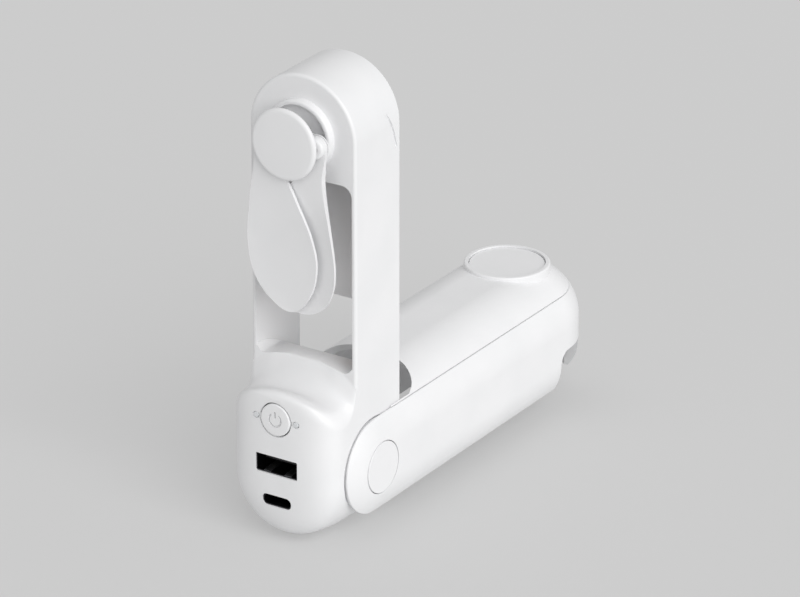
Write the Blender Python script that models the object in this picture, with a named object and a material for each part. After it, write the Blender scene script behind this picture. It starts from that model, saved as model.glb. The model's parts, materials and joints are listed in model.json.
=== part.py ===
"""Power bank fan: a ports block with a windowed arm, hinged in an open-bottomed handle.

Lengths are in metres. Each piece is modelled about its own carrier: the handle and the arm about the
hinge axis, the rotor about the motor axis, each blade about its pin. On every carrier +X is the hinge
axis, +Y runs back along the handle and +Z runs up the arm.
"""

import math

import bmesh
import bpy
from mathutils import Matrix, Vector

# Shared clearances and detail
FIT = 0.0003            # gap between two pieces that touch or turn in each other
SEAM = 0.00025          # visible joint line between two mouldings
OVERRUN = 0.002         # how far a cut runs past the face it opens
ARC_STEPS = 24          # segments in half a turn of a large outline
ROUND_STEPS = 40        # segments in a full turn of a round piece
SMALL_STEPS = 20        # segments in a full turn of a small round piece
SCOOP_STEPS = 8         # stations along the scoop
REACH_STEPS = 20        # places at which the block's swept radius is read
TINY_STEPS = 12         # segments in a full turn of a light pipe
WELD = FIT / 60         # vertices closer than this are one vertex

# Sizes that the arm and the handle share
ARM_HALF = 0.0163
ARM_FRONT = 0.0077           # hinge axis to the arm's front face
ARM_BACK = 0.0128            # hinge axis to the arm's back face
HUB_HEIGHT = 0.0923          # hinge axis to the motor's axis

# Handle
SIDE_WALL = 0.0034           # from the arm's side to the handle's widest point
SHOULDER_FLAT = 0.0047       # half-width of the flat top, half-height of the flat sides
SHOULDER_RADIUS = ARM_HALF + SIDE_WALL - SHOULDER_FLAT
HANDLE_HALF = SHOULDER_FLAT + SHOULDER_RADIUS
HANDLE_WALL = 0.002
FAR_CENTRE = HUB_HEIGHT + 0.0005
SEAM_HEIGHT = 0.0134
RIM_DEPTH = ARM_BACK
RIDGE_FRONT = 0.008          # the cover reaches at least this far forward before its arch is cut
NOTCH_LENGTH = 0.0222
NOTCH_HEIGHT = 0.0120
NOTCH_SHARES = ((0.0, 0.84), (0.28, 0.88), (0.60, 1.0), (0.83, 0.95), (0.97, 0.72), (1.0, 0.60),
                (0.93, 0.46), (0.80, 0.36), (0.72, 0.20), (0.66, 0.0))
BUMP_RADIUS = 0.01195
BUMP_HEIGHT = 0.0009         # above the handle's flat top
BUMP_ROUND = 0.0005
BUMP_ROOT = 0.0033           # how far the bump's wall reaches below the flat top
BUMP_POCKET_ROOF = 0.0022    # from the bump's rim down to the pocket's roof
DISC_RADIUS = BUMP_RADIUS - 0.0015
DISC_THICKNESS = 0.0007
DISC_SINK = 0.0005

# Hinge
CHEEK_RADIUS = SEAM_HEIGHT - SEAM / 2
CHEEK_PAD_RADIUS = CHEEK_RADIUS - FIT
WALL_START = 0.0015          # how far behind the hinge axis the side wall leaves its cheek
CAP_RADIUS = 0.0071
CAP_THICKNESS = 0.0012
SCREW_HEAD_RADIUS = 0.0036
SCREW_HEAD_THICKNESS = 0.0009
SHANK_RADIUS = 0.0023
SCREW_TIP = ARM_HALF - 0.0047        # where the shank ends, measured from the middle
WASHER_RADIUS = 0.0052
WASHER_THICKNESS = 0.0006
NUT_RADIUS = 0.0037
NUT_THICKNESS = 0.0016
NUT_SIDES = 6

# Arm and ports block
ARM_EDGE = 0.0009
ARM_EDGE_STEPS = ((1.0, 0.0), (0.3, 0.3), (0.0, 1.0))    # shares of the edge: back from the face, inwards
RAIL_HALF = ARM_HALF - 0.0012        # half-width of the window
PAD_GAP_HALF = ARM_HALF - 0.0007     # half-width of the block between its two cheek recesses
BLOCK_FRONT = 0.0212
BLOCK_ROUND = 0.0095
BLOCK_DROP = 0.0035          # centre of the block's round bottom below the hinge
FOOT_DEPTH = ARM_HALF + BLOCK_DROP - 0.0002
BLOCK_ARCH = 0.021           # radius of the arch along the block's top
CREASE_HEIGHT = 0.0235
CREASE_ROUND = 0.0014
SILL_HEIGHT = 0.0300
SCOOP_DIP = 0.0006
SCOOP_POWER = 2.4            # how fast the scoop flattens towards its crest
SILL_ARCH = 0.038
SILL_ROUND = 0.015           # radius of the rounded back of the sill
WINDOW_TOP = HUB_HEIGHT - 0.0116
WINDOW_CORNER = 0.003
PANEL_BOTTOM = 0.0400
HEAD_PLATE = 0.0018
BACK_PLATE = 0.0016
GROOVE_DEPTH = 0.0005
GROOVE_WIDTH = 0.0009
GROOVE_RADIUS = 0.030
GROOVE_START = 13.0          # degrees round the groove's centre
GROOVE_END = 45.0
GROOVE_INSET = 0.0014        # from the arm's back face to the groove's lower end
GROOVE_DROP = 0.0064         # from the motor's axis to the groove's lower end

# Hollow of the block
CAVITY_HALF = ARM_HALF - 0.0026
CAVITY_STEP_SHARE = 0.91     # where the hollow's front end starts to close
FRONT_WALL = 0.0020
ROOF_WALL = 0.0024
COVER_TOP = 0.0115
UPPER_CAVITY_BACK = 0.0040
POST_RADIUS = 0.0022
POST_SPREAD = 0.0045
POST_HEIGHT = ARM_HALF - 0.0029      # below the hinge axis
POST_FRONT = 0.0030
POST_WEB = 0.0042            # from the post's centre into the block's floor
LEAD_SLOT_DEPTH = 0.0060
LEAD_SLOT_HEIGHT = 0.0140

# Ports
USB_A_HEIGHT = 0.0035
USB_A_WIDTH = 0.0130
USB_A_TALL = 0.0052
USB_A_WALL = 0.00035
USB_A_WIDTH_SHARE = 0.962    # inner width of the shell against the opening
USB_C_HEIGHT = -0.0067
USB_C_WIDTH = 0.0090
USB_C_TALL = 0.0032
SHELL_CLEAR = 0.0002
TONGUE_A_WIDTH = 0.0111
TONGUE_A_THICKNESS = 0.0019
TONGUE_A_LIFT = 0.0011
TONGUE_C_WIDTH = 0.0067
TONGUE_C_THICKNESS = 0.0007
TONGUE_SETBACK = 0.0012
TONGUE_CORNER = 0.00017
PORT_CORNER = 0.0004

# Button
BUTTON_HEIGHT = 0.0169
BUTTON_RADIUS = 0.0045
BUTTON_PROUD = 0.0003
BUTTON_THICKNESS = 0.0015
BUTTON_TRAVEL = 0.0005
BUTTON_ROUND = 0.0004
BUTTON_EDGE_SHARE = 0.3      # where the button's rounded edge has its middle point
STEM_RADIUS = 0.0015
COLLAR_RADIUS = 0.0022
COLLAR_THICKNESS = 0.0006
BAY_HALF = 0.0034            # half-width of the switch's bay behind the button's guide
GUIDE_DEPTH = 0.0021         # from the button's pocket floor to the back of the guide
STEM_END = 0.0152
LENS_SPREAD = 0.0062
LENS_RADIUS = 0.0008
LENS_LENGTH = 0.0030
SWITCH_SIZE = 0.0042
SWITCH_PLUNGER_RADIUS = 0.0010
SWITCH_PLUNGER_LENGTH = 0.0012
SWITCH_SINK = 0.0016         # the switch's centre sits this far below the button's

# Board and cells
BOARD_FRONT = 0.0093
BOARD_THICKNESS = 0.0012
BOARD_HALF = CAVITY_HALF - 0.0017
BOARD_BOTTOM = ARM_HALF - 0.0068
BOARD_TOP = 0.0166
CHIP_SIZE = 0.0050
CHIP_THICKNESS = 0.0006
CHIP_HEIGHT = 0.0040
INDUCTOR_SIZE = 0.0040
INDUCTOR_THICKNESS = 0.0026
INDUCTOR_SIDE = BOARD_HALF - 0.0035
INDUCTOR_HEIGHT = -0.0015
CELL_HALF = CAVITY_HALF - 0.0025
CELL_BOTTOM = ARM_HALF - 0.0055
CELL_TOP = 0.0110
CELL_THICKNESS = 0.0079
CELL_ROUND = 0.0012
CELL_START = 0.0066
PAD_THICKNESS = 0.0012
PAD_HALF = CELL_HALF - 0.0017

# Motor
BOSS_RADIUS = 0.0112
BOSS_BORE = 0.0096
BOSS_PROUD = 0.0038
BOSS_ROUND = 0.0005
MOTOR_RADIUS = 0.00775
MOTOR_LENGTH = 0.0112
MOTOR_NOSE_RADIUS = 0.0030
MOTOR_NOSE_LENGTH = 0.0014
SHAFT_RADIUS = 0.00075
SHAFT_SINK = 0.0060
LEAD_THICKNESS = 0.0004
LEAD_WIDTH = 0.0040
LEAD_GAP = 0.0004
LEAD_BOTTOM = 0.0152
LEAD_TOP = HUB_HEIGHT - 0.0053
LEAD_END = 0.0090            # the lead's end under the motor, from the middle
HEAD_POST_RADIUS = 0.0024
HEAD_POST_REACH = RAIL_HALF - 0.0017     # post centre from the motor axis
HEAD_POST_ANGLE = 45.0
HEAD_POST_LENGTH = ARM_BACK - 0.0038
HEAD_POST_WEB = 0.0023       # from the post's centre into the head's wall

# Plate screws
PLATE_SCREW_RADIUS = 0.0009
PLATE_SCREW_LENGTH = 0.0058
PLATE_SCREW_HEAD = 0.0016
PLATE_SCREW_HEAD_THICKNESS = 0.0007
PLATE_SCREW_SINK = 0.0001

# Rotor
PIN_SPREAD = 0.0080
PIN_RADIUS = 0.0011
HUB_RADIUS = 0.0044
HUB_BACK = 0.0102
PLATE_FRONT = 0.0122
PLATE_THICKNESS = 0.0004
PLATE_EYE = 0.0030
REAR_BLADE_BACK = 0.0125
FRONT_BLADE_BACK = 0.0139
BLADE_THICKNESS = 0.0008
CAP_BACK = 0.0150
CAP_FRONT = 0.01695
HUB_CAP_RADIUS = 0.0098
BUMP_POCKET_RADIUS = HUB_CAP_RADIUS + 0.0011
HUB_CAP_ROUND = 0.0006
HUB_CAP_SOCKET = 0.0009
BLADE_LENGTH = 0.0466
BLADE_HALF = 0.0105
BLADE_EYE = 0.0030
BLADE_EYE_STEPS = (18, 36, 54, 72, 90)     # degrees round the eye's end
BLADE_COLUMNS = 8
FRONT_CAMBER = 0.0011
REAR_CAMBER = 0.0004
BLADE_LEAN = 11.9            # degrees from hanging straight down
REAR_LEAN = 9.5
BLADE_SHARES = ((0.10, 0.30), (0.17, 0.38), (0.26, 0.53), (0.31, 0.62), (0.38, 0.74), (0.46, 0.84),
                (0.54, 0.93), (0.63, 0.99), (0.70, 1.0), (0.77, 0.98), (0.84, 0.89), (0.90, 0.76),
                (0.95, 0.57), (0.985, 0.32), (1.0, 0.08))
CAMBER_START_SHARE = 0.27
CAMBER_FULL_SHARE = 0.55

FAR_TIP = FAR_CENTRE + HANDLE_HALF
HINGE_Y = (BLOCK_FRONT + BUTTON_PROUD - FAR_TIP) / 2


# Shapes

def arc(centre, radius, start, end, steps):
    """Points of a circular arc, angles in degrees."""
    points = []
    for i in range(steps + 1):
        turn = math.radians(start + (end - start) * i / steps)
        points.append((centre[0] + radius * math.cos(turn), centre[1] + radius * math.sin(turn)))
    return points


def rounded_box(centre, width, height, radius, steps=4):
    x, z = width / 2 - radius, height / 2 - radius
    points = []
    for sx, sz, start in ((1, 1, 0), (-1, 1, 90), (-1, -1, 180), (1, -1, 270)):
        points += arc((centre[0] + sx * x, centre[1] + sz * z), radius, start, start + 90, steps)
    return points


def placed(point, plane, depth):
    if plane == "XZ":
        return Vector((point[0], depth, point[1]))
    if plane == "YZ":
        return Vector((depth, point[0], point[1]))
    return Vector((point[0], point[1], depth))


def loft(rings):
    """A closed solid through rings of equally many points, with both ends filled."""
    bm = bmesh.new()
    made = [[bm.verts.new(p) for p in ring] for ring in rings]
    for a, b in zip(made, made[1:]):
        for i in range(len(a)):
            j = (i + 1) % len(a)
            bm.faces.new((a[i], a[j], b[j], b[i]))
    bm.faces.new(made[0])
    bm.faces.new(made[-1])
    bmesh.ops.recalc_face_normals(bm, faces=bm.faces[:])
    return bm


def prism(outline, plane, low, high):
    return loft([[placed(p, plane, depth) for p in outline] for depth in (low, high)])


def lathe(profile, axis, centre=(0, 0, 0), steps=ROUND_STEPS):
    """Turns a closed profile of (radius, distance along the axis) round an axis through centre."""
    bm = bmesh.new()
    along = {"X": Vector((1, 0, 0)), "Y": Vector((0, 1, 0)), "Z": Vector((0, 0, 1))}[axis]
    side = {"X": Vector((0, 1, 0)), "Y": Vector((0, 0, 1)), "Z": Vector((1, 0, 0))}[axis]
    origin = Vector(centre)
    verts = [bm.verts.new(origin + along * h + side * r) for r, h in profile]
    edges = [bm.edges.new((verts[i], verts[(i + 1) % len(verts)])) for i in range(len(verts))]
    bmesh.ops.spin(bm, geom=verts + edges, cent=origin, axis=along, angle=math.tau, steps=steps,
                   use_merge=True)
    bmesh.ops.remove_doubles(bm, verts=bm.verts[:], dist=WELD)
    bmesh.ops.dissolve_degenerate(bm, edges=bm.edges[:], dist=WELD)
    loose = [v for v in bm.verts if not v.link_faces]
    bmesh.ops.delete(bm, geom=loose, context="VERTS")
    bmesh.ops.recalc_face_normals(bm, faces=bm.faces[:])
    return bm


def disc(radius, axis, low, high, centre=(0, 0, 0), steps=SMALL_STEPS, bore=0.0, edge=0.0):
    """A disc or a ring between two distances along its axis, its far outer edge rounded if asked."""
    outer = [(radius, low)]
    if edge:
        sign = 1 if high > low else -1
        outer += [(radius - edge + edge * math.cos(math.radians(a)),
                   high - sign * edge + sign * edge * math.sin(math.radians(a))) for a in (0, 30, 60, 90)]
    else:
        outer.append((radius, high))
    return lathe([(bore, low)] + outer + [(bore, high)], axis, centre, steps)


# Scene helpers

def material(name, colour, roughness, metallic=0.0):
    made = bpy.data.materials.new(name)
    made.use_nodes = True
    shader = made.node_tree.nodes["Principled BSDF"]
    shader.inputs["Base Color"].default_value = (*colour, 1)
    shader.inputs["Roughness"].default_value = roughness
    shader.inputs["Metallic"].default_value = metallic
    made.diffuse_color = (*colour, 1)
    return made


def carrier(name, parent=None, location=(0, 0, 0), turn=0.0):
    """An empty on a joint's axis; turn is its rest angle about Y in degrees."""
    empty = bpy.data.objects.new(name, None)
    bpy.context.scene.collection.objects.link(empty)
    empty.parent = parent
    empty.location = location
    empty.rotation_euler = (0, math.radians(turn), 0)
    return empty


def piece(name, bm, finish, parent):
    mesh = bpy.data.meshes.new(name)
    bm.to_mesh(mesh)
    bm.free()
    mesh.materials.append(finish)
    mesh.shade_smooth()
    mesh.set_sharp_from_angle(angle=math.radians(30))
    made = bpy.data.objects.new(name, mesh)
    bpy.context.scene.collection.objects.link(made)
    made.parent = parent
    return made


def combine(target, bm, operation, name):
    """Adds a Boolean with a hidden tool that rides on the same carrier."""
    tool = piece(f"{target.name}_{name}", bm, target.data.materials[0], target.parent)
    tool.hide_render = True
    tool.display_type = "WIRE"
    boolean = target.modifiers.new(name, "BOOLEAN")
    boolean.operation = operation
    boolean.object = tool
    boolean.solver = "EXACT"


def cut(target, bm, name):
    combine(target, bm, "DIFFERENCE", name)


def fuse(target, bm, name):
    combine(target, bm, "UNION", name)


def mirrored(bm):
    bm.transform(Matrix.Scale(-1, 4, (1, 0, 0)))
    bmesh.ops.reverse_faces(bm, faces=bm.faces[:])
    return bm


# Outlines that several pieces share

def shell_half(height, radius=SHOULDER_RADIUS):
    """Half-width of the handle's rounded section at a height above or below the hinge."""
    beyond = max(abs(height) - SHOULDER_FLAT, 0)
    return SHOULDER_FLAT + math.sqrt(max(radius ** 2 - beyond ** 2, 0))


def handle_outline(half, front):
    points = [(half, front)] + arc((0, FAR_CENTRE), half, 0, 180, ARC_STEPS) + [(-half, front)]
    return points


def block_front_at(x):
    """How far the block's front stands before the hinge at a distance from the middle."""
    inside = ARM_HALF - BLOCK_ROUND
    beyond = max(abs(x) - inside, 0)
    return BLOCK_FRONT - BLOCK_ROUND + math.sqrt(max(BLOCK_ROUND ** 2 - beyond ** 2, 0))


def block_half_at(front):
    """Half-width of the block at a distance before the hinge."""
    beyond = max(front - (BLOCK_FRONT - BLOCK_ROUND), 0)
    return ARM_HALF - BLOCK_ROUND + math.sqrt(max(BLOCK_ROUND ** 2 - beyond ** 2, 0))


def arch_drop(x, radius):
    return radius - math.sqrt(radius ** 2 - x ** 2)


def vault_start():
    """Height at which the handle's straight inner side turns into its vault."""
    inner = SHOULDER_RADIUS - HANDLE_WALL
    return SHOULDER_FLAT + math.sqrt(inner ** 2 - (ARM_HALF + FIT - SHOULDER_FLAT) ** 2)


def scoop_top(front):
    """Height of the block's top along its middle at a distance before the hinge."""
    crest = BLOCK_FRONT - CREASE_ROUND
    if front > crest:
        return CREASE_HEIGHT - CREASE_ROUND + math.sqrt(max(CREASE_ROUND ** 2 - (front - crest) ** 2, 0))
    share = (front - ARM_FRONT) / (crest - ARM_FRONT)
    rise = (SILL_HEIGHT - CREASE_HEIGHT) * (1 - share) ** SCOOP_POWER
    return CREASE_HEIGHT + rise - SCOOP_DIP * math.sin(math.pi * share) ** 2


def block_reach(x):
    """Radius that the part of the block which enters the vault sweeps about the hinge."""
    first, last = vault_start(), block_front_at(x)
    fronts = [first + (last - first) * i / REACH_STEPS for i in range(REACH_STEPS + 1)]
    return max(math.hypot(front, scoop_top(front) - arch_drop(x, BLOCK_ARCH)) for front in fronts)


def block_outline(half, top, bottom_centre=-BLOCK_DROP, arch=BLOCK_ARCH, foot=None):
    """Arched top, straight sides and a round bottom, seen from the front."""
    points = []
    for i in range(ARC_STEPS + 1):
        x = half * (1 - 2 * i / ARC_STEPS)
        points.append((x, top - arch_drop(x, arch)))
    for x, z in arc((0, bottom_centre), half, 180, 360, ARC_STEPS):
        points.append((x, z if foot is None else max(z, -foot)))
    return points


def stadium(half, bottom, top_centre):
    return arc((0, top_centre), half, 0, 180, ARC_STEPS) + [(-half, bottom), (half, bottom)]


# Handle

def side_frame_outer():
    rings = []
    seam = CHEEK_RADIUS
    heights = [seam]
    top_turn = math.degrees(math.asin((seam - SHOULDER_FLAT) / SHOULDER_RADIUS))
    low_turn = math.degrees(math.asin((RIM_DEPTH - SHOULDER_FLAT) / SHOULDER_RADIUS))
    steps = 5
    heights += [SHOULDER_FLAT + SHOULDER_RADIUS * math.sin(math.radians(top_turn * (1 - i / steps)))
                for i in range(1, steps + 1)]
    heights += [-SHOULDER_FLAT - SHOULDER_RADIUS * math.sin(math.radians(low_turn * i / steps))
                for i in range(steps + 1)]
    for z in heights:
        rings.append([placed(p, "XY", z) for p in handle_outline(shell_half(z), WALL_START)])
    return loft(rings)


def handle_hollow(low, high):
    """The space inside the handle: straight sides below, a rounded vault above."""
    inner = SHOULDER_RADIUS - HANDLE_WALL
    side = ARM_HALF + FIT
    bend = vault_start()
    heights = [low, bend]
    start = math.degrees(math.asin((bend - SHOULDER_FLAT) / inner))
    steps = 7
    heights += [SHOULDER_FLAT + inner * math.sin(math.radians(start + (90 - start) * i / steps))
                for i in range(1, steps + 1)]
    rings = []
    for z in heights:
        if z > high:
            break
        half = side if z <= bend else shell_half(z, inner)
        rings.append([placed(p, "XY", z) for p in handle_outline(half, CHEEK_RADIUS)])
    return loft(rings)


def cheek(sign):
    steps = 6
    turn = math.degrees(math.asin((CHEEK_RADIUS - SHOULDER_FLAT) / SHOULDER_RADIUS))
    inner = ARM_HALF - OVERRUN
    profile = [(0, inner), (CHEEK_RADIUS, inner)]
    for i in range(steps + 1):
        a = math.radians(turn * (1 - i / steps))
        profile.append((SHOULDER_FLAT + SHOULDER_RADIUS * math.sin(a),
                        SHOULDER_FLAT + SHOULDER_RADIUS * math.cos(a)))
    profile.append((0, HANDLE_HALF))
    bm = lathe(profile, "X", steps=ROUND_STEPS + ARC_STEPS)
    return mirrored(bm) if sign < 0 else bm


def cap_seat():
    return HANDLE_HALF - CAP_THICKNESS


def head_seat():
    return cap_seat() - FIT - SCREW_HEAD_THICKNESS - FIT


def swing_space():
    """All that is turned out about the hinge: the bores, the cheeks' round pads and the block's sweep."""
    side, pad = ARM_HALF + FIT, PAD_GAP_HALF + FIT
    clear = FIT * 2
    half = [(0, HANDLE_HALF + OVERRUN), (CAP_RADIUS + SEAM, HANDLE_HALF + OVERRUN),
            (CAP_RADIUS + SEAM, cap_seat() - FIT), (SCREW_HEAD_RADIUS + FIT, cap_seat() - FIT),
            (SCREW_HEAD_RADIUS + FIT, head_seat()), (SHANK_RADIUS + FIT, head_seat()),
            (SHANK_RADIUS + FIT, pad), (CHEEK_PAD_RADIUS, pad), (CHEEK_PAD_RADIUS, side)]
    sweep = []
    for i in range(REACH_STEPS + 1):
        x = side * (1 - 2 * i / REACH_STEPS)
        sweep.append((block_reach(max(min(x, ARM_HALF), -ARM_HALF)) + clear, x))
    profile = half + sweep + [(radius, -x) for radius, x in reversed(half)]
    return lathe(profile, "X", steps=ROUND_STEPS * 2)


def notch_cutter():
    """Thumb notch through the lower far end."""
    start = FAR_TIP + OVERRUN
    points = [(start, -RIM_DEPTH + NOTCH_HEIGHT * NOTCH_SHARES[0][1])]
    for along, up in NOTCH_SHARES:
        points.append((FAR_TIP - NOTCH_LENGTH * along, -RIM_DEPTH + NOTCH_HEIGHT * up))
    last = FAR_TIP - NOTCH_LENGTH * NOTCH_SHARES[-1][0]
    points += [(last, -RIM_DEPTH - OVERRUN), (start, -RIM_DEPTH - OVERRUN)]
    return prism(points, "YZ", -HANDLE_HALF - OVERRUN, HANDLE_HALF + OVERRUN)


def make_side_frame(finish, parent):
    frame = piece("side_frame", side_frame_outer(), finish, parent)
    cut(frame, notch_cutter(), "notch")
    for side, sign in (("right", 1), ("left", -1)):
        fuse(frame, cheek(sign), f"cheek_{side}")
    cut(frame, handle_hollow(-RIM_DEPTH - OVERRUN, HANDLE_HALF), "hollow")
    cut(frame, swing_space(), "swing")


def bump_rim():
    return HANDLE_HALF + BUMP_HEIGHT


def ridge_outer():
    seam = SEAM_HEIGHT + SEAM / 2
    start = math.degrees(math.asin((seam - SHOULDER_FLAT) / SHOULDER_RADIUS))
    steps = 8
    rings = []
    for i in range(steps + 1):
        a = math.radians(start + (90 - start) * i / steps)
        z = SHOULDER_FLAT + SHOULDER_RADIUS * math.sin(a)
        half = SHOULDER_FLAT + SHOULDER_RADIUS * math.cos(a)
        rings.append([placed(p, "XY", z) for p in handle_outline(half, RIDGE_FRONT)])
    return loft(rings)


def make_ridge_cover(finish, parent):
    cover = piece("ridge_cover", ridge_outer(), finish, parent)
    cut(cover, handle_hollow(SHOULDER_FLAT, HANDLE_HALF), "vault")
    centre = (0, HUB_HEIGHT, 0)
    root = HANDLE_HALF - BUMP_ROOT
    fuse(cover, disc(BUMP_RADIUS, "Z", root, bump_rim(), centre, ROUND_STEPS, edge=BUMP_ROUND), "bump")
    roof = bump_rim() - BUMP_POCKET_ROOF
    cut(cover, disc(BUMP_POCKET_RADIUS, "Z", 0, roof, centre, ROUND_STEPS), "pocket")
    seat = bump_rim() - DISC_SINK - DISC_THICKNESS - FIT
    cut(cover, disc(DISC_RADIUS + FIT, "Z", seat, bump_rim() + OVERRUN, centre, ROUND_STEPS), "recess")
    cut(cover, swing_space(), "swing")


def make_bump_disc(finish, parent):
    top = bump_rim() - DISC_SINK
    bm = disc(DISC_RADIUS, "Z", top - DISC_THICKNESS, top, (0, HUB_HEIGHT, 0), ROUND_STEPS)
    piece("bump_disc", bm, finish, parent)


def make_hinge_caps(finish, parent):
    for side, sign in (("right", 1), ("left", -1)):
        bm = disc(CAP_RADIUS, "X", cap_seat(), HANDLE_HALF, steps=ROUND_STEPS)
        piece(f"hinge_cap_{side}", mirrored(bm) if sign < 0 else bm, finish, parent)


# Arm and ports block

def scoop_profile():
    """Distance before the hinge and height along the middle of the block's top, back to front."""
    crest = BLOCK_FRONT - CREASE_ROUND
    fronts = [ARM_FRONT + (crest - ARM_FRONT) * i / SCOOP_STEPS for i in range(SCOOP_STEPS + 1)]
    fronts += [crest + CREASE_ROUND * math.sin(math.radians(a)) for a in (30, 60, 85, 90)]
    return [(front, scoop_top(front)) for front in fronts]


def block_solid():
    rings = []
    profile = [(-ARM_BACK, SILL_HEIGHT)] + scoop_profile()
    for front, top in profile:
        half = block_half_at(front)
        outline = block_outline(half, top, foot=FOOT_DEPTH)
        rings.append([placed(p, "XZ", -front) for p in outline])
    return loft(rings)


def arm_solid():
    """The upright stadium, its front edge slightly rounded."""
    rings = []
    stations = [(ARM_BACK, ARM_HALF)]
    stations += [(-ARM_FRONT + ARM_EDGE * back, ARM_HALF - ARM_EDGE * inwards)
                 for back, inwards in ARM_EDGE_STEPS]
    for back, half in stations:
        outline = stadium(half, -BLOCK_DROP, HUB_HEIGHT)
        rings.append([placed(p, "XZ", back) for p in outline])
    return loft(rings)


def window_cutter():
    """The window, straight through the arm, with a low arch as its sill."""
    top, corner = WINDOW_TOP, WINDOW_CORNER
    points = arc((RAIL_HALF - corner, top - corner), corner, 0, 90, 5)
    points += arc((-RAIL_HALF + corner, top - corner), corner, 90, 180, 5)
    low = SILL_HEIGHT - arch_drop(RAIL_HALF - corner, SILL_ARCH)
    points += arc((-RAIL_HALF + corner, low + corner), corner, 180, 260, 5)
    steps = 10
    reach = RAIL_HALF - corner
    for i in range(1, steps):
        x = reach * (2 * i / steps - 1)
        points.append((x, SILL_HEIGHT - arch_drop(x, SILL_ARCH)))
    points += arc((RAIL_HALF - corner, low + corner), corner, 280, 360, 5)
    return prism(points, "XZ", -BLOCK_FRONT - OVERRUN, ARM_BACK + OVERRUN)


def sill_cutter():
    """Rounds off the block behind the sill, between the two rails."""
    centre = (-ARM_FRONT, SILL_HEIGHT - SILL_ROUND)
    curve = arc(centre, SILL_ROUND, 90, 0, 12)
    points = curve + [(ARM_BACK + OVERRUN, centre[1]), (ARM_BACK + OVERRUN, SILL_HEIGHT + OVERRUN),
                      (-ARM_FRONT, SILL_HEIGHT + OVERRUN)]
    return prism(points, "YZ", -RAIL_HALF, RAIL_HALF)


def head_cutter():
    """Hollow of the head behind its front plate, open at the back."""
    outline = stadium(RAIL_HALF, WINDOW_TOP - WINDOW_CORNER * 2, HUB_HEIGHT)
    return prism(outline, "XZ", -ARM_FRONT + HEAD_PLATE, ARM_BACK + OVERRUN)


def cavity_cutter():
    """Hollow of the block below the back cover's top edge, open at the back."""
    outline = [(CAVITY_HALF, COVER_TOP), (-CAVITY_HALF, COVER_TOP)]
    outline += arc((0, -BLOCK_DROP), CAVITY_HALF, 180, 360, ARC_STEPS)
    rings = []
    front = BLOCK_FRONT - FRONT_WALL
    for y in (ARM_BACK + OVERRUN, -(BLOCK_FRONT - BLOCK_ROUND), -front * CAVITY_STEP_SHARE, -front):
        beyond = max(-y - (BLOCK_FRONT - BLOCK_ROUND), 0)
        inner = BLOCK_ROUND - FRONT_WALL
        half = CAVITY_HALF - inner + math.sqrt(max(inner ** 2 - beyond ** 2, 0))
        share = half / CAVITY_HALF
        rings.append([Vector((x * share, y, z)) for x, z in outline])
    return loft(rings)


def upper_cavity_cutter():
    """Hollow under the scoop, for the switch and the top of the board."""
    top = CREASE_HEIGHT - SCOOP_DIP - ROOF_WALL
    half = BOARD_HALF + FIT * 2
    outline = [(half, 0), (half, top - arch_drop(half, BLOCK_ARCH))]
    for i in range(1, 8):
        x = half * (1 - 2 * i / 8)
        outline.append((x, top - arch_drop(x, BLOCK_ARCH)))
    outline += [(-half, top - arch_drop(half, BLOCK_ARCH)), (-half, 0)]
    return prism(outline, "XZ", -(BLOCK_FRONT - BLOCK_ROUND), UPPER_CAVITY_BACK)


def switch_cavity_cutter():
    """Bay for the switch and the button's collar, behind the guide."""
    low = COVER_TOP - OVERRUN
    high = BUTTON_HEIGHT + COLLAR_RADIUS + FIT * 2
    outline = rounded_box((0, (low + high) / 2), BAY_HALF * 2, high - low, PORT_CORNER, 2)
    return prism(outline, "XZ", -guide_back(), -(BLOCK_FRONT - BLOCK_ROUND) + OVERRUN)


def hinge_recess(sign):
    """Round recess for the cheek, the washer's seat and the screw's hole, as one turned cutter."""
    seat = PAD_GAP_HALF - WASHER_THICKNESS - FIT
    profile = [(0, CAVITY_HALF - OVERRUN), (SHANK_RADIUS + FIT, CAVITY_HALF - OVERRUN),
               (SHANK_RADIUS + FIT, seat), (WASHER_RADIUS + FIT, seat), (WASHER_RADIUS + FIT, PAD_GAP_HALF),
               (CHEEK_RADIUS + FIT, PAD_GAP_HALF), (CHEEK_RADIUS + FIT, ARM_HALF + OVERRUN),
               (0, ARM_HALF + OVERRUN)]
    bm = lathe(profile, "X", steps=ROUND_STEPS + ARC_STEPS)
    return mirrored(bm) if sign < 0 else bm


def groove_cutter(sign):
    """Shallow curved pry groove beside the back edge of the head."""
    low = HUB_HEIGHT - GROOVE_DROP
    centre = (ARM_BACK - GROOVE_INSET - GROOVE_RADIUS * math.cos(math.radians(GROOVE_START)),
              low - GROOVE_RADIUS * math.sin(math.radians(GROOVE_START)))
    outer = arc(centre, GROOVE_RADIUS + GROOVE_WIDTH / 2, GROOVE_START, GROOVE_END, 10)
    inner = arc(centre, GROOVE_RADIUS - GROOVE_WIDTH / 2, GROOVE_END, GROOVE_START, 10)
    faces = sorted((sign * (ARM_HALF - GROOVE_DEPTH), sign * (ARM_HALF + OVERRUN)))
    return prism(outer + inner, "YZ", *faces)


def button_pocket_floor():
    return BLOCK_FRONT - BUTTON_THICKNESS - BUTTON_TRAVEL - FIT


def guide_back():
    return button_pocket_floor() - GUIDE_DEPTH


def head_post_centres():
    a = math.radians(HEAD_POST_ANGLE)
    side, up = HEAD_POST_REACH * math.cos(a), HEAD_POST_REACH * math.sin(a)
    return [(sign * side, HUB_HEIGHT + up) for sign in (1, -1)]


def block_post_centres():
    return [(s * POST_SPREAD, -POST_HEIGHT) for s in (1, -1)]


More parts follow.
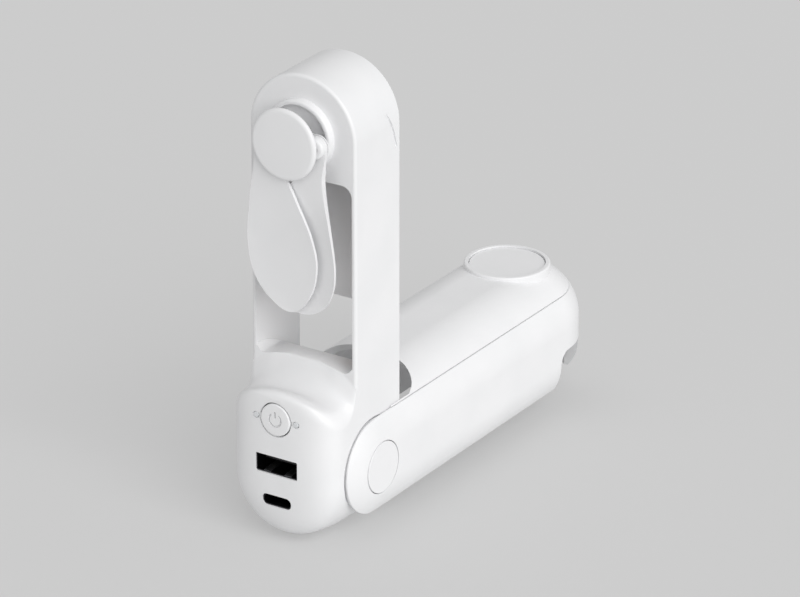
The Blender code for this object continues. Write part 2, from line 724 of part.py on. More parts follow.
def webbed_post(centre, radius, turn, web, front, back):
    """A round post that runs on into a wall, which lies at turn degrees from it."""
    a = math.radians(turn)
    side = Vector((-math.sin(a), math.cos(a))) * radius
    end = Vector(centre) + Vector((math.cos(a), math.sin(a))) * web
    outline = arc(centre, radius, turn + 90, turn + 270, SMALL_STEPS // 2) + [end - side, end + side]
    return prism(outline, "XZ", front, back)


def screw_hole(centre):
    x, z = centre
    reach = PLATE_SCREW_LENGTH + PLATE_SCREW_HEAD_THICKNESS + FIT * 2
    return disc(PLATE_SCREW_RADIUS + FIT, "Y", ARM_BACK - reach, ARM_BACK + OVERRUN, (x, 0, z))


def make_arm_frame(finish, parent):
    frame = piece("arm_frame", arm_solid(), finish, parent)
    fuse(frame, block_solid(), "block")
    cut(frame, window_cutter(), "window")
    cut(frame, sill_cutter(), "sill")
    cut(frame, head_cutter(), "head")
    cut(frame, cavity_cutter(), "cavity")
    cut(frame, upper_cavity_cutter(), "upper_cavity")
    cut(frame, switch_cavity_cutter(), "switch_cavity")
    for side, sign in (("right", 1), ("left", -1)):
        cut(frame, hinge_recess(sign), f"recess_{side}")
        cut(frame, groove_cutter(sign), f"groove_{side}")
    boss_front = -ARM_FRONT - BOSS_PROUD
    ring = disc(BOSS_RADIUS, "Y", -ARM_FRONT + HEAD_PLATE / 2, boss_front, (0, 0, HUB_HEIGHT), ROUND_STEPS,
                bore=BOSS_BORE, edge=BOSS_ROUND)
    fuse(frame, ring, "boss")
    nose = disc(MOTOR_NOSE_RADIUS + FIT, "Y", -ARM_FRONT - OVERRUN, -ARM_FRONT + HEAD_PLATE + OVERRUN,
                (0, 0, HUB_HEIGHT))
    cut(frame, nose, "nose")
    front, floor, back = -(BLOCK_FRONT + OVERRUN), -button_pocket_floor(), -guide_back() + OVERRUN
    profile = [(0, front), (BUTTON_RADIUS + FIT, front), (BUTTON_RADIUS + FIT, floor),
               (STEM_RADIUS + FIT, floor), (STEM_RADIUS + FIT, back), (0, back)]
    cut(frame, lathe(profile, "Y", (0, 0, BUTTON_HEIGHT)), "pocket")
    for side, sign in (("right", 1), ("left", -1)):
        hole = disc(LENS_RADIUS + SEAM, "Y", -(BLOCK_FRONT + OVERRUN), -(BLOCK_FRONT - LENS_LENGTH - FIT),
                    (sign * LENS_SPREAD, 0, BUTTON_HEIGHT), steps=TINY_STEPS)
        cut(frame, hole, f"lens_{side}")
    for name, height, width, tall, corner in (("usb_a", USB_A_HEIGHT, USB_A_WIDTH, USB_A_TALL, PORT_CORNER),
                                              ("usb_c", USB_C_HEIGHT, USB_C_WIDTH, USB_C_TALL,
                                               USB_C_TALL / 2 - SHELL_CLEAR)):
        outline = rounded_box((0, height), width, tall, corner)
        inner = BLOCK_FRONT - FRONT_WALL - OVERRUN
        cut(frame, prism(outline, "XZ", -(BLOCK_FRONT + OVERRUN), -inner), name)
    for i, (x, z) in enumerate(block_post_centres()):
        high = ARM_BACK - BACK_PLATE - FIT
        fuse(frame, webbed_post((x, z), POST_RADIUS, -90, POST_WEB, POST_FRONT, high), f"post_{i}")
        cut(frame, screw_hole((x, z)), f"post_hole_{i}")
    for i, (x, z) in enumerate(head_post_centres()):
        high = ARM_BACK - HEAD_PLATE - FIT
        turn = HEAD_POST_ANGLE if x > 0 else 180 - HEAD_POST_ANGLE
        post = webbed_post((x, z), HEAD_POST_RADIUS, turn, HEAD_POST_WEB, high - HEAD_POST_LENGTH, high)
        fuse(frame, post, f"head_post_{i}")
        cut(frame, screw_hole((x, z)), f"head_hole_{i}")
    inner, outer = CAVITY_HALF - OVERRUN, RAIL_HALF - FIT / 2
    slot = rounded_box(((outer + inner) / 2, (LEAD_SLOT_HEIGHT + SILL_HEIGHT) / 2), outer - inner,
                       SILL_HEIGHT - LEAD_SLOT_HEIGHT, PORT_CORNER, 1)
    cut(frame, prism(slot, "XZ", -LEAD_SLOT_DEPTH / 2, LEAD_SLOT_DEPTH / 2), "lead_slot")


def counterbored(target, centre, name):
    x, z = centre
    cut(target, disc(PLATE_SCREW_RADIUS + FIT, "Y", 0, ARM_BACK + OVERRUN, (x, 0, z)), f"{name}_hole")
    low = ARM_BACK - PLATE_SCREW_SINK - PLATE_SCREW_HEAD_THICKNESS - FIT
    cut(target, disc(PLATE_SCREW_HEAD + FIT, "Y", low, ARM_BACK + OVERRUN, (x, 0, z)), f"{name}_seat")


def make_back_covers(finish, parent):
    half = CAVITY_HALF - FIT
    outline = [(half, COVER_TOP - FIT), (-half, COVER_TOP - FIT)]
    outline += arc((0, -BLOCK_DROP), half, 180, 360, ARC_STEPS)
    block = piece("block_back_cover", prism(outline, "XZ", ARM_BACK - BACK_PLATE, ARM_BACK), finish, parent)
    for i, centre in enumerate(block_post_centres()):
        counterbored(block, centre, f"screw_{i}")
    outline = stadium(RAIL_HALF - FIT, PANEL_BOTTOM, HUB_HEIGHT)
    head = piece("head_back_cover", prism(outline, "XZ", ARM_BACK - HEAD_PLATE, ARM_BACK), finish, parent)
    for i, centre in enumerate(head_post_centres()):
        counterbored(head, centre, f"screw_{i}")


def make_cover_screws(finish, parent):
    for i, (x, z) in enumerate(block_post_centres() + head_post_centres(), 1):
        high = ARM_BACK - PLATE_SCREW_SINK
        under = high - PLATE_SCREW_HEAD_THICKNESS
        profile = [(0, under - PLATE_SCREW_LENGTH), (PLATE_SCREW_RADIUS, under - PLATE_SCREW_LENGTH),
                   (PLATE_SCREW_RADIUS, under), (PLATE_SCREW_HEAD, under), (PLATE_SCREW_HEAD, high),
                   (0, high)]
        piece(f"cover_screw_{i}", lathe(profile, "Y", (x, 0, z), SMALL_STEPS), finish, parent)


def make_hinge_pins(steel, parent):
    head = head_seat() + FIT
    profile = [(0, SCREW_TIP), (SHANK_RADIUS, SCREW_TIP), (SHANK_RADIUS, head), (SCREW_HEAD_RADIUS, head),
               (SCREW_HEAD_RADIUS, head + SCREW_HEAD_THICKNESS), (0, head + SCREW_HEAD_THICKNESS)]
    high = CAVITY_HALF - FIT
    low = high - NUT_THICKNESS
    hexagon = arc((0, 0), NUT_RADIUS, 0, 360, NUT_SIDES)[:-1]
    for side, sign in (("right", 1), ("left", -1)):
        screw = lathe(profile, "X", steps=SMALL_STEPS)
        washer = disc(WASHER_RADIUS, "X", PAD_GAP_HALF - WASHER_THICKNESS, PAD_GAP_HALF,
                      bore=SHANK_RADIUS + FIT)
        nut, hole = prism(hexagon, "YZ", low, high), disc(SHANK_RADIUS + FIT, "X", low - FIT, high + FIT)
        if sign < 0:
            screw, washer, nut, hole = [mirrored(bm) for bm in (screw, washer, nut, hole)]
        piece(f"hinge_screw_{side}", screw, steel, parent)
        piece(f"hinge_washer_{side}", washer, steel, parent)
        cut(piece(f"hinge_nut_{side}", nut, steel, parent), hole, "bore")


# Electronics

def box_piece(name, centre, size, finish, parent, corner):
    outline = rounded_box((centre[0], centre[2]), size[0], size[2], corner, 2)
    bm = prism(outline, "XZ", centre[1] - size[1] / 2, centre[1] + size[1] / 2)
    return piece(name, bm, finish, parent)


def board_back():
    return -BOARD_FRONT + BOARD_THICKNESS


def make_board(board, dark, metal, parent):
    outline = [(BOARD_HALF, BOARD_TOP - WINDOW_CORNER), (BOARD_HALF - WINDOW_CORNER, BOARD_TOP),
               (-BOARD_HALF + WINDOW_CORNER, BOARD_TOP), (-BOARD_HALF, BOARD_TOP - WINDOW_CORNER),
               (-BOARD_HALF, -BOARD_BOTTOM), (BOARD_HALF, -BOARD_BOTTOM)]
    piece("circuit_board", prism(outline, "XZ", -BOARD_FRONT, board_back()), board, parent)
    y = board_back() + FIT + CHIP_THICKNESS / 2
    box_piece("charging_chip", (0, y, CHIP_HEIGHT), (CHIP_SIZE, CHIP_THICKNESS, CHIP_SIZE), dark, parent,
              PORT_CORNER)
    y = -BOARD_FRONT - FIT - INDUCTOR_THICKNESS / 2
    box_piece("power_inductor", (INDUCTOR_SIDE, y, INDUCTOR_HEIGHT),
              (INDUCTOR_SIZE, INDUCTOR_THICKNESS, INDUCTOR_SIZE), metal, parent, PORT_CORNER)


def shell_and_tongue(name, height, size, corner, tongue, finishes, parent):
    """A socket's metal shell and the tongue in it, standing on the board."""
    front = -(BLOCK_FRONT - FRONT_WALL - FIT)
    back = -BOARD_FRONT - FIT
    width, tall = size
    outer = rounded_box((0, height), width + USB_A_WALL * 2, tall + USB_A_WALL * 2, corner + USB_A_WALL)
    shell = piece(f"{name}_shell", prism(outer, "XZ", front, back), finishes[0], parent)
    floor = back - USB_A_WALL
    cut(shell, prism(rounded_box((0, height), width, tall, corner), "XZ", front - OVERRUN, floor), "bore")
    across, thick, lift = tongue
    centre = (0, (front + TONGUE_SETBACK + floor - FIT) / 2, height + lift)
    deep = floor - FIT - front - TONGUE_SETBACK
    box_piece(f"{name}_tongue", centre, (across, deep, thick), finishes[1], parent, TONGUE_CORNER)


def make_ports(metal, dark, parent):
    shell_and_tongue("usb_a", USB_A_HEIGHT, (USB_A_WIDTH * USB_A_WIDTH_SHARE, USB_A_TALL - SHELL_CLEAR),
                     PORT_CORNER, (TONGUE_A_WIDTH, TONGUE_A_THICKNESS, TONGUE_A_LIFT), (metal, dark),
                     parent)
    shell_and_tongue("usb_c", USB_C_HEIGHT, (USB_C_WIDTH - SHELL_CLEAR, USB_C_TALL - SHELL_CLEAR),
                     USB_C_TALL / 2 - SHELL_CLEAR * 2, (TONGUE_C_WIDTH, TONGUE_C_THICKNESS, 0.0),
                     (metal, dark), parent)


def make_switch(dark, parent):
    centre = BUTTON_HEIGHT - SWITCH_SINK
    front = -STEM_END + BUTTON_TRAVEL + FIT + SWITCH_PLUNGER_LENGTH
    back = -BOARD_FRONT - FIT
    outline = rounded_box((0, centre), SWITCH_SIZE, SWITCH_SIZE, PORT_CORNER, 2)
    switch = piece("button_switch", prism(outline, "XZ", front, back), dark, parent)
    plunger = disc(SWITCH_PLUNGER_RADIUS, "Y", front - SWITCH_PLUNGER_LENGTH, front + FIT,
                   (0, 0, BUTTON_HEIGHT - SWITCH_SINK / 2))
    fuse(switch, plunger, "plunger")


def make_lenses(clear, parent):
    for side, sign in (("right", 1), ("left", -1)):
        lens = disc(LENS_RADIUS, "Y", -BLOCK_FRONT, -(BLOCK_FRONT - LENS_LENGTH),
                    (sign * LENS_SPREAD, 0, BUTTON_HEIGHT), steps=TINY_STEPS)
        piece(f"indicator_lens_{side}", lens, clear, parent)


def make_cells(foil, foam, parent):
    start = -CELL_START
    height = CELL_TOP + CELL_BOTTOM
    middle = (CELL_TOP - CELL_BOTTOM) / 2
    for name in ("battery_cell_front", "battery_cell_rear"):
        centre = (0, start + CELL_THICKNESS / 2, middle)
        box_piece(name, centre, (CELL_HALF * 2, CELL_THICKNESS, height), foil, parent, CELL_ROUND)
        start += CELL_THICKNESS + FIT
    centre = (0, start + PAD_THICKNESS / 2, middle)
    box_piece("battery_foam_pad", centre, (PAD_HALF * 2, PAD_THICKNESS, PAD_HALF * 2), foam, parent,
              CELL_ROUND)


def make_motor(metal, lead, parent):
    nose = -ARM_FRONT + HEAD_PLATE + FIT
    profile = [(0, nose + MOTOR_LENGTH), (MOTOR_RADIUS, nose + MOTOR_LENGTH), (MOTOR_RADIUS, nose),
               (MOTOR_NOSE_RADIUS, nose), (MOTOR_NOSE_RADIUS, nose - MOTOR_NOSE_LENGTH),
               (0, nose - MOTOR_NOSE_LENGTH)]
    motor = piece("motor_can", lathe(profile, "Y", (0, 0, HUB_HEIGHT)), metal, parent)
    bore = disc(SHAFT_RADIUS + FIT, "Y", nose - MOTOR_NOSE_LENGTH - OVERRUN, nose + SHAFT_SINK + FIT,
                (0, 0, HUB_HEIGHT))
    cut(motor, bore, "bore")
    outside = RAIL_HALF - LEAD_GAP
    inside = outside - LEAD_THICKNESS
    outline = [(inside, LEAD_BOTTOM), (outside, LEAD_BOTTOM), (outside, LEAD_TOP), (LEAD_END, LEAD_TOP),
               (LEAD_END, LEAD_TOP - LEAD_THICKNESS), (inside, LEAD_TOP - LEAD_THICKNESS)]
    piece("motor_lead", prism(outline, "XZ", -LEAD_WIDTH / 2, LEAD_WIDTH / 2), lead, parent)


# Button, rotor and blades, each about its own axis

def make_button(finish, parent):
    front = -(BLOCK_FRONT + BUTTON_PROUD)
    back = front + BUTTON_THICKNESS
    edge = BUTTON_ROUND
    middle = BUTTON_ROUND * BUTTON_EDGE_SHARE
    collar = -guide_back() + FIT
    profile = [(0, front), (BUTTON_RADIUS - edge, front), (BUTTON_RADIUS - middle, front + middle),
               (BUTTON_RADIUS, front + edge), (BUTTON_RADIUS, back), (STEM_RADIUS, back),
               (STEM_RADIUS, collar),
               (COLLAR_RADIUS, collar), (COLLAR_RADIUS, collar + COLLAR_THICKNESS),
               (STEM_RADIUS, collar + COLLAR_THICKNESS), (STEM_RADIUS, -STEM_END), (0, -STEM_END)]
    piece("power_button", lathe(profile, "Y", steps=ROUND_STEPS), finish, parent)


def pin_places():
    return [(sign * PIN_SPREAD, 0, 0) for sign in (1, -1)]


def make_rotor(white, steel, parent):
    nose = -ARM_FRONT + HEAD_PLATE + FIT
    shaft_front = CAP_BACK - FIT
    piece("motor_shaft", disc(SHAFT_RADIUS, "Y", -shaft_front, nose + SHAFT_SINK), steel, parent)
    hub = disc(HUB_RADIUS, "Y", -(CAP_BACK - FIT), -HUB_BACK)
    rotor = piece("rotor_hub", hub, white, parent)
    bar = arc((PIN_SPREAD, 0), PLATE_EYE, -90, 90, 10) + arc((-PIN_SPREAD, 0), PLATE_EYE, 90, 270, 10)
    fuse(rotor, prism(bar, "XZ", -PLATE_FRONT, -PLATE_FRONT + PLATE_THICKNESS), "bar")
    cut(rotor, disc(SHAFT_RADIUS + FIT, "Y", -CAP_BACK, -HUB_BACK + OVERRUN), "bore")
    for i, centre in enumerate(pin_places()):
        cut(rotor, disc(PIN_RADIUS + FIT, "Y", -PLATE_FRONT - FIT, -HUB_BACK, centre), f"pin_{i}")
    plate = disc(HUB_CAP_RADIUS, "Y", -CAP_BACK, -CAP_FRONT, steps=ROUND_STEPS, edge=HUB_CAP_ROUND)
    cap = piece("hub_cap", plate, white, parent)
    for i, centre in enumerate(pin_places()):
        socket = disc(PIN_RADIUS + FIT, "Y", -CAP_BACK - HUB_CAP_SOCKET, -CAP_BACK + FIT, centre)
        cut(cap, socket, f"pin_{i}")
    for side, centre in zip(("right", "left"), pin_places()):
        front = -CAP_BACK - HUB_CAP_SOCKET + FIT
        pin = disc(PIN_RADIUS, "Y", front, -PLATE_FRONT + PLATE_THICKNESS, centre)
        piece(f"blade_pin_{side}", pin, steel, parent)


def blade_mesh(back, camber):
    """A teardrop blade that hangs from its pin, crowned along its middle."""
    stations = []
    for turn in BLADE_EYE_STEPS:
        a = math.radians(turn)
        stations.append((-BLADE_EYE * math.cos(a), BLADE_EYE * math.sin(a)))
    stations += [(BLADE_LENGTH * s, BLADE_HALF * w) for s, w in BLADE_SHARES]
    rings = []
    for along, half in stations:
        share = (along / BLADE_LENGTH - CAMBER_START_SHARE) / (CAMBER_FULL_SHARE - CAMBER_START_SHARE)
        share = max(0.0, min(1.0, share))
        rise = camber * share * share * (3 - 2 * share) * (half / BLADE_HALF)
        crown = []
        for j in range(BLADE_COLUMNS + 1):
            t = 2 * j / BLADE_COLUMNS - 1
            crown.append((half * t, -back - rise * (1 - t * t)))
        ring = [Vector((x, y, -along)) for x, y in crown]
        ring += [Vector((x, y - BLADE_THICKNESS, -along)) for x, y in reversed(crown)]
        rings.append(ring)
    return loft(rings)


def make_blade(name, back, camber, finish, parent):
    blade = piece(name, blade_mesh(back, camber), finish, parent)
    cut(blade, disc(PIN_RADIUS + FIT, "Y", -back - BLADE_THICKNESS - FIT, -back + FIT), "eye")


def build():
    for old in list(bpy.data.objects):
        bpy.data.objects.remove(old, do_unlink=True)
    white = material("white_abs", (0.83, 0.83, 0.83), 0.35)
    black = material("black_plastic", (0.02, 0.02, 0.02), 0.45)
    steel = material("plated_steel", (0.62, 0.62, 0.63), 0.3, 1.0)
    green = material("board_laminate", (0.02, 0.16, 0.07), 0.5)
    foil = material("cell_foil", (0.72, 0.72, 0.74), 0.35, 1.0)
    foam = material("grey_foam", (0.1, 0.1, 0.1), 0.9)
    clear = material("frosted_lens", (0.8, 0.8, 0.8), 0.25)
    amber = material("flex_lead", (0.35, 0.15, 0.03), 0.4)

    handle = carrier("handle_axis", location=(0, HINGE_Y, FOOT_DEPTH))
    arm = carrier("arm_axis", handle)
    button = carrier("button_axis", arm, (0, 0, BUTTON_HEIGHT))
    rotor = carrier("rotor_axis", arm, (0, 0, HUB_HEIGHT))
    front_blade = carrier("front_blade_axis", rotor, (-PIN_SPREAD, 0, 0), -BLADE_LEAN)
    rear_blade = carrier("rear_blade_axis", rotor, (PIN_SPREAD, 0, 0), REAR_LEAN)

    make_side_frame(white, handle)
    make_ridge_cover(white, handle)
    make_bump_disc(white, handle)
    make_hinge_caps(white, handle)
    make_arm_frame(white, arm)
    make_back_covers(white, arm)
    make_cover_screws(steel, arm)
    make_hinge_pins(steel, arm)
    make_board(green, black, steel, arm)
    make_ports(steel, black, arm)
    make_switch(black, arm)
    make_lenses(clear, arm)
    make_cells(foil, foam, arm)
    make_motor(steel, amber, arm)
    make_button(white, button)
    make_rotor(white, steel, rotor)
    make_blade("blade_front", FRONT_BLADE_BACK, FRONT_CAMBER, white, front_blade)
    make_blade("blade_rear", REAR_BLADE_BACK, REAR_CAMBER, white, rear_blade)
    bpy.context.view_layer.update()


build()
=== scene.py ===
"""Power bank fan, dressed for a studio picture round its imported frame.

Pieces are modelled in millimetres about the hinge axis, with +X along the hinge, +Y back along the
handle and +Z up the arm, and settle() then puts them in the frame's metres.
"""

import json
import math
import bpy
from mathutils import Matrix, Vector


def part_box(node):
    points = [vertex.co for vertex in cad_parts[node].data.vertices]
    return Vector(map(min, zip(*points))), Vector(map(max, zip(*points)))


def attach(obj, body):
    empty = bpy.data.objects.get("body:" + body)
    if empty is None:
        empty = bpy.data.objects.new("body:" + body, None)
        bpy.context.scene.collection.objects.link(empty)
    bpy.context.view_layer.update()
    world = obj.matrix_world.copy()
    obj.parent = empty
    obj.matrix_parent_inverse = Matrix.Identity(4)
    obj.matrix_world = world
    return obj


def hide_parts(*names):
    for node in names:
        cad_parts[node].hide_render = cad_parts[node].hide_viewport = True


bl_info = {
    "name": "Power bank fan studio",
    "version": (1, 0, 0),
    "blender": (4, 5, 0),
    "location": "3D View > Sidebar > Fan",
    "description": "Models and finishes the shells, fan, ports and studio of a folding power bank fan",
    "category": "Object",
}

import bmesh
import bpy
from mathutils import Matrix, Vector
from mathutils.kdtree import KDTree

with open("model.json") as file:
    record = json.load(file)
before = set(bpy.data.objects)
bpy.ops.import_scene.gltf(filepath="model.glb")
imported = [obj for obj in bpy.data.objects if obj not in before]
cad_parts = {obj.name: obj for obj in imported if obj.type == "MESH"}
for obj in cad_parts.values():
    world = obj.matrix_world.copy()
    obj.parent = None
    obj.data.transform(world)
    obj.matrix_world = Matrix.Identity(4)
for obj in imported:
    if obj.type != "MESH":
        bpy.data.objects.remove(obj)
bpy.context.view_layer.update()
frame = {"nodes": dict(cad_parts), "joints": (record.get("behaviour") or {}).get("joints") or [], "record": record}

MM = 1000.0
HINGE = Vector(next(j for j in frame["joints"] if j["name"] == "arm_hinge")["pos_m"]) * MM

# Sizes in millimetres, as the frame has them. The arm and the height of the hub:
ARM_HALF, ARM_FRONT, ARM_BACK, HUB = 16.3, 7.7, 12.8, 92.3
RAIL_HALF, CAVITY_HALF, PAD_HALF = 15.1, 13.7, 15.6
WINDOW_TOP, WINDOW_CORNER, PANEL_BOTTOM, PLATE, BACK_PLATE = 80.7, 3.0, 40.0, 1.8, 1.6
# The block with the ports, up to its crease and the sill of the window
BLOCK_FRONT, BLOCK_ROUND, BLOCK_DROP, FOOT, BLOCK_ARCH = 21.2, 9.5, 3.5, 19.6, 23.0
CREASE, SILL, SILL_ARCH, SILL_ROUND, LIP_START = 24.6, 30.0, 38.0, 15.0, 6.5
# How far its chin rises, the power of its rounded plan, its corners at the arm and further on, and its cove
CHIN_RISE, CROWN, EDGE_SOFT, SHOULDER_SOFT, SOFT_RUN, COVE = 1.7, 2.9, 0.9, 2.8, 4.0, 2.2
HOLLOW, HOLLOW_START, HOLLOW_LONG, HOLLOW_HALF = 2.6, 8.4, 10.8, 15.0
SWITCH_BAY = 16.8
# Each port as its height, width, tallness and corner
PORTS = {"wide": (3.5, 13, 5.2, 0.4), "small": (-6.7, 9, 3.2, 1.4)}
# The plates' screws, as places across and up
SCREWS = {"block": [(4.5, -13.4), (-4.5, -13.4)], "head": [(9.475, 101.775), (-9.475, 101.775)]}
# The handle: its rounded section, its length, its cheeks and its round inlays
SHOULDER, FLAT, WALL = 15.0, 4.7, 2.0
HANDLE_HALF, FAR, SEAM_HEIGHT, RIM = 19.7, 92.8, 13.4, 12.8
CHEEK, PAD_ROUND = 13.275, 12.975
BUMP, BUMP_RISE, DISC, CAP = 11.95, 0.9, 10.45, 7.1
NOTCH_NEAR, NOTCH_FAR, NOTCH_TOP, NOTCH_CORNER = 89.4, 105.3, -1.4, 3.8
# Room between moving pieces, seams between fixed ones, and room for the block to turn
FIT, SEAM, SWEEP_ROOM = 0.3, 0.25, 0.25
BUTTON, BUTTON_HEIGHT, LENS, LENS_SIDE = 4.5, 16.9, 0.8, 6.2
BOSS, BOSS_BORE, BOSS_PROUD = 9.9, 8.6, 2.2
PIN_SIDE, PIN, BLADE_EYE, BLADE_THICK = 8.0, 1.1, 3.0, 0.8
# A place from which no two mirrored corners are equally far
OFF_CENTRE = (371.3, -523.7, 947.9)
# The camera's place and aim in metres, as fitted to the picture, and where the soft light comes from
CAMERA_PLACE, CAMERA_AIM = (0.7198, -1.1162, 0.6332), (0.00798, -0.01959, 0.05544)
KEY_WAY, KEY_SPREAD = (0.774, -0.385, 0.503), 50
# Which finish each of the record's material slots gets
SLOT_FINISHES = {"white_abs": "shell", "white_trim": "trim", "fan_plastic": "fan", "plated_steel": "steel",
                 "port_shell": "port", "black_plastic": "black", "board_laminate": "board",
                 "cell_foil": "foil", "grey_foam": "foam", "frosted_lens": "lens", "flex_lead": "lead"}
# Half widths to the left and right along each blade, as shares of its length and of BLADE_HALF
BLADE_LONG, BLADE_HALF = 47.8, 10.45
FRONT_BLADE = ((0.10, 0.31, 0.31), (0.17, 0.40, 0.40), (0.24, 0.51, 0.51), (0.32, 0.64, 0.64),
               (0.41, 0.76, 0.76), (0.48, 0.86, 0.86), (0.55, 0.94, 0.94), (0.61, 0.98, 0.98), (0.67, 1.0, 1.0),
               (0.73, 0.99, 0.98), (0.79, 0.94, 0.91), (0.85, 0.83, 0.80), (0.90, 0.69, 0.66),
               (0.95, 0.48, 0.46), (0.985, 0.27, 0.26), (1.0, 0.08, 0.08))
REAR_BLADE = ((0.10, 0.33, 0.28), (0.17, 0.44, 0.27), (0.24, 0.54, 0.34), (0.32, 0.66, 0.45),
              (0.41, 0.76, 0.59), (0.50, 0.88, 0.73), (0.58, 0.95, 0.85), (0.65, 1.0, 0.94), (0.71, 1.0, 0.985),
              (0.76, 0.97, 1.0), (0.82, 0.88, 0.97), (0.88, 0.76, 0.89), (0.93, 0.61, 0.75),
              (0.97, 0.42, 0.52), (0.99, 0.26, 0.31), (1.0, 0.08, 0.10))


# Outlines

def arc(centre, radius, start, end, steps):
    """Points of a circular arc, its angles in degrees."""
    turns = [math.radians(start + (end - start) * i / steps) for i in range(steps + 1)]
    return [(centre[0] + radius * math.cos(a), centre[1] + radius * math.sin(a)) for a in turns]


def rounded_box(centre, width, tall, radius, steps=6):
    """Points of a box with round corners."""
    x, z = width / 2 - radius, tall / 2 - radius
    points = []
    for sx, sz, start in ((1, 1, 0), (-1, 1, 90), (-1, -1, 180), (1, -1, 270)):
        points += arc((centre[0] + sx * x, centre[1] + sz * z), radius, start, start + 90, steps)
    return points


def smooth_line(points, count):
    """A smooth curve through points, read at evenly spread places."""
    ends = [tuple(2 * a - b for a, b in zip(points[0], points[1]))]
    tail = [tuple(2 * a - b for a, b in zip(points[-1], points[-2]))]
    line = ends + list(points) + tail
    made = []
    for i in range(count + 1):
        place = i / count * (len(points) - 1)
        k = min(int(place), len(points) - 2)
        t = place - k
        a, b, c, d = line[k:k + 4]
        made.append(tuple(0.5 * (2 * q + (r - p) * t + (2 * p - 5 * q + 4 * r - s) * t * t
                                 + (3 * q - p - 3 * r + s) * t ** 3) for p, q, r, s in zip(a, b, c, d)))
    return made


def stadium(half, bottom, top_centre, steps=64):
    """Points of an arch: a half circle on two straight sides."""
    return arc((0, top_centre), half, 0, 180, steps) + [(-half, bottom), (half, bottom)]


def arch_drop(x, radius):
    """How far an arch falls below its crown at x."""
    return radius - math.sqrt(max(radius ** 2 - x ** 2, 0))


def on_plane(points, plane, depth):
    """Flat points stood in space on a plane at a depth along the third axis."""
    if plane == "XZ":
        return [(a, depth, b) for a, b in points]
    if plane == "YZ":
        return [(depth, a, b) for a, b in points]
    return [(a, b, depth) for a, b in points]


# Modelling by hand

def alone(made):
    """Selects one object and makes it the active one."""
    bpy.ops.object.select_all(action="DESELECT")
    made.select_set(True)
    bpy.context.view_layer.objects.active = made
    return made


def outline_face(name, points):
    """A flat face on an outline, started from a filled circle."""
    bpy.ops.object.select_all(action="DESELECT")
    bpy.ops.mesh.primitive_circle_add(vertices=len(points), radius=1, fill_type="NGON", location=(0, 0, 0))
    made = bpy.context.object
    made.name = made.data.name = name
    for corner, place in zip(made.data.vertices, points):
        corner.co = place
    return made


def drawn_out(name, rings):
    """A solid drawn from its first outline through the others, one extrusion for each."""
    made = outline_face(name, rings[0])
    bpy.ops.object.mode_set(mode="EDIT")
    bpy.ops.mesh.select_all(action="SELECT")
    for last, following in zip(rings, rings[1:]):
        bpy.ops.mesh.extrude_region_move(TRANSFORM_OT_translate={"value": (0, 0, 0)})
        nearest = KDTree(len(last))
        for i, place in enumerate(last):
            nearest.insert(place, i)
        nearest.balance()
        for corner in bmesh.from_edit_mesh(made.data).verts:
            if corner.select:
                corner.co = following[nearest.find(corner.co)[1]]
        bmesh.update_edit_mesh(made.data)
    bpy.ops.mesh.select_all(action="SELECT")
    bpy.ops.mesh.remove_doubles(threshold=0.002)
    bpy.ops.mesh.dissolve_degenerate(threshold=0.002)
    bpy.ops.mesh.normals_make_consistent(inside=False)
    bpy.ops.object.mode_set(mode="OBJECT")
    return made


def bar(name, points, plane, low, high):
    """A flat outline drawn out straight."""
    return drawn_out(name, [on_plane(points, plane, low), on_plane(points, plane, high)])


def turned(name, profile, axis, centre=(0, 0, 0), steps=96):
    """A closed profile of (radius, distance along the axis) spun a full turn."""
    along = {"X": Vector((1, 0, 0)), "Y": Vector((0, 1, 0)), "Z": Vector((0, 0, 1))}[axis]
    side = {"X": Vector((0, 1, 0)), "Y": Vector((0, 0, 1)), "Z": Vector((1, 0, 0))}[axis]
    origin = Vector(centre)
    bpy.ops.object.select_all(action="DESELECT")
    bpy.ops.mesh.primitive_circle_add(vertices=len(profile), radius=1, fill_type="NOTHING", location=(0, 0, 0))
    made = bpy.context.object
    made.name = made.data.name = name
    for corner, (radius, reach) in zip(made.data.vertices, profile):
        corner.co = origin + along * reach + side * radius
    bpy.ops.object.mode_set(mode="EDIT")
    bpy.ops.mesh.select_all(action="SELECT")
    bpy.ops.mesh.spin(steps=steps, angle=math.tau, center=origin, axis=along, use_auto_merge=True)
    bpy.ops.mesh.select_all(action="SELECT")
    bpy.ops.mesh.remove_doubles(threshold=0.001)
    bpy.ops.mesh.dissolve_degenerate(threshold=0.001)
    bpy.ops.mesh.delete_loose(use_verts=True, use_edges=True, use_faces=False)
    bpy.ops.mesh.select_all(action="SELECT")
    bpy.ops.mesh.normals_make_consistent(inside=False)
    bpy.ops.object.mode_set(mode="OBJECT")
    return made


def round_edge(radius, face, edge, inwards, steps=6):
    """Profile points of an outer edge rounded onto a face; inwards is the way back from the face."""
    turns = [math.radians(90 * i / steps) for i in range(steps + 1)]
    return [(radius - edge + edge * math.cos(a), face + inwards * edge * (1 - math.sin(a))) for a in turns]


def coin(name, radius, axis, back, face, edge=0.0, centre=(0, 0, 0), steps=96, bore=0.0):
    """A round plate or ring whose front outer edge is rounded."""
    profile = [(bore, back), (radius, back)]
    if edge:
        profile += round_edge(radius, face, edge, 1 if back > face else -1)
    else:
        profile.append((radius, face))
    return turned(name, profile + [(bore, face)], axis, centre, steps)


def in_order(target):
    """Sorts a mesh by its distance from the cursor, since a Boolean leaves it in another order each run."""
    bpy.context.scene.cursor.location = OFF_CENTRE
    alone(target)
    bpy.ops.object.mode_set(mode="EDIT")
    bpy.ops.mesh.select_all(action="SELECT")
    bpy.ops.mesh.sort_elements(type="CURSOR_DISTANCE", elements={"VERT", "EDGE", "FACE"})
    bpy.ops.object.mode_set(mode="OBJECT")
    return target


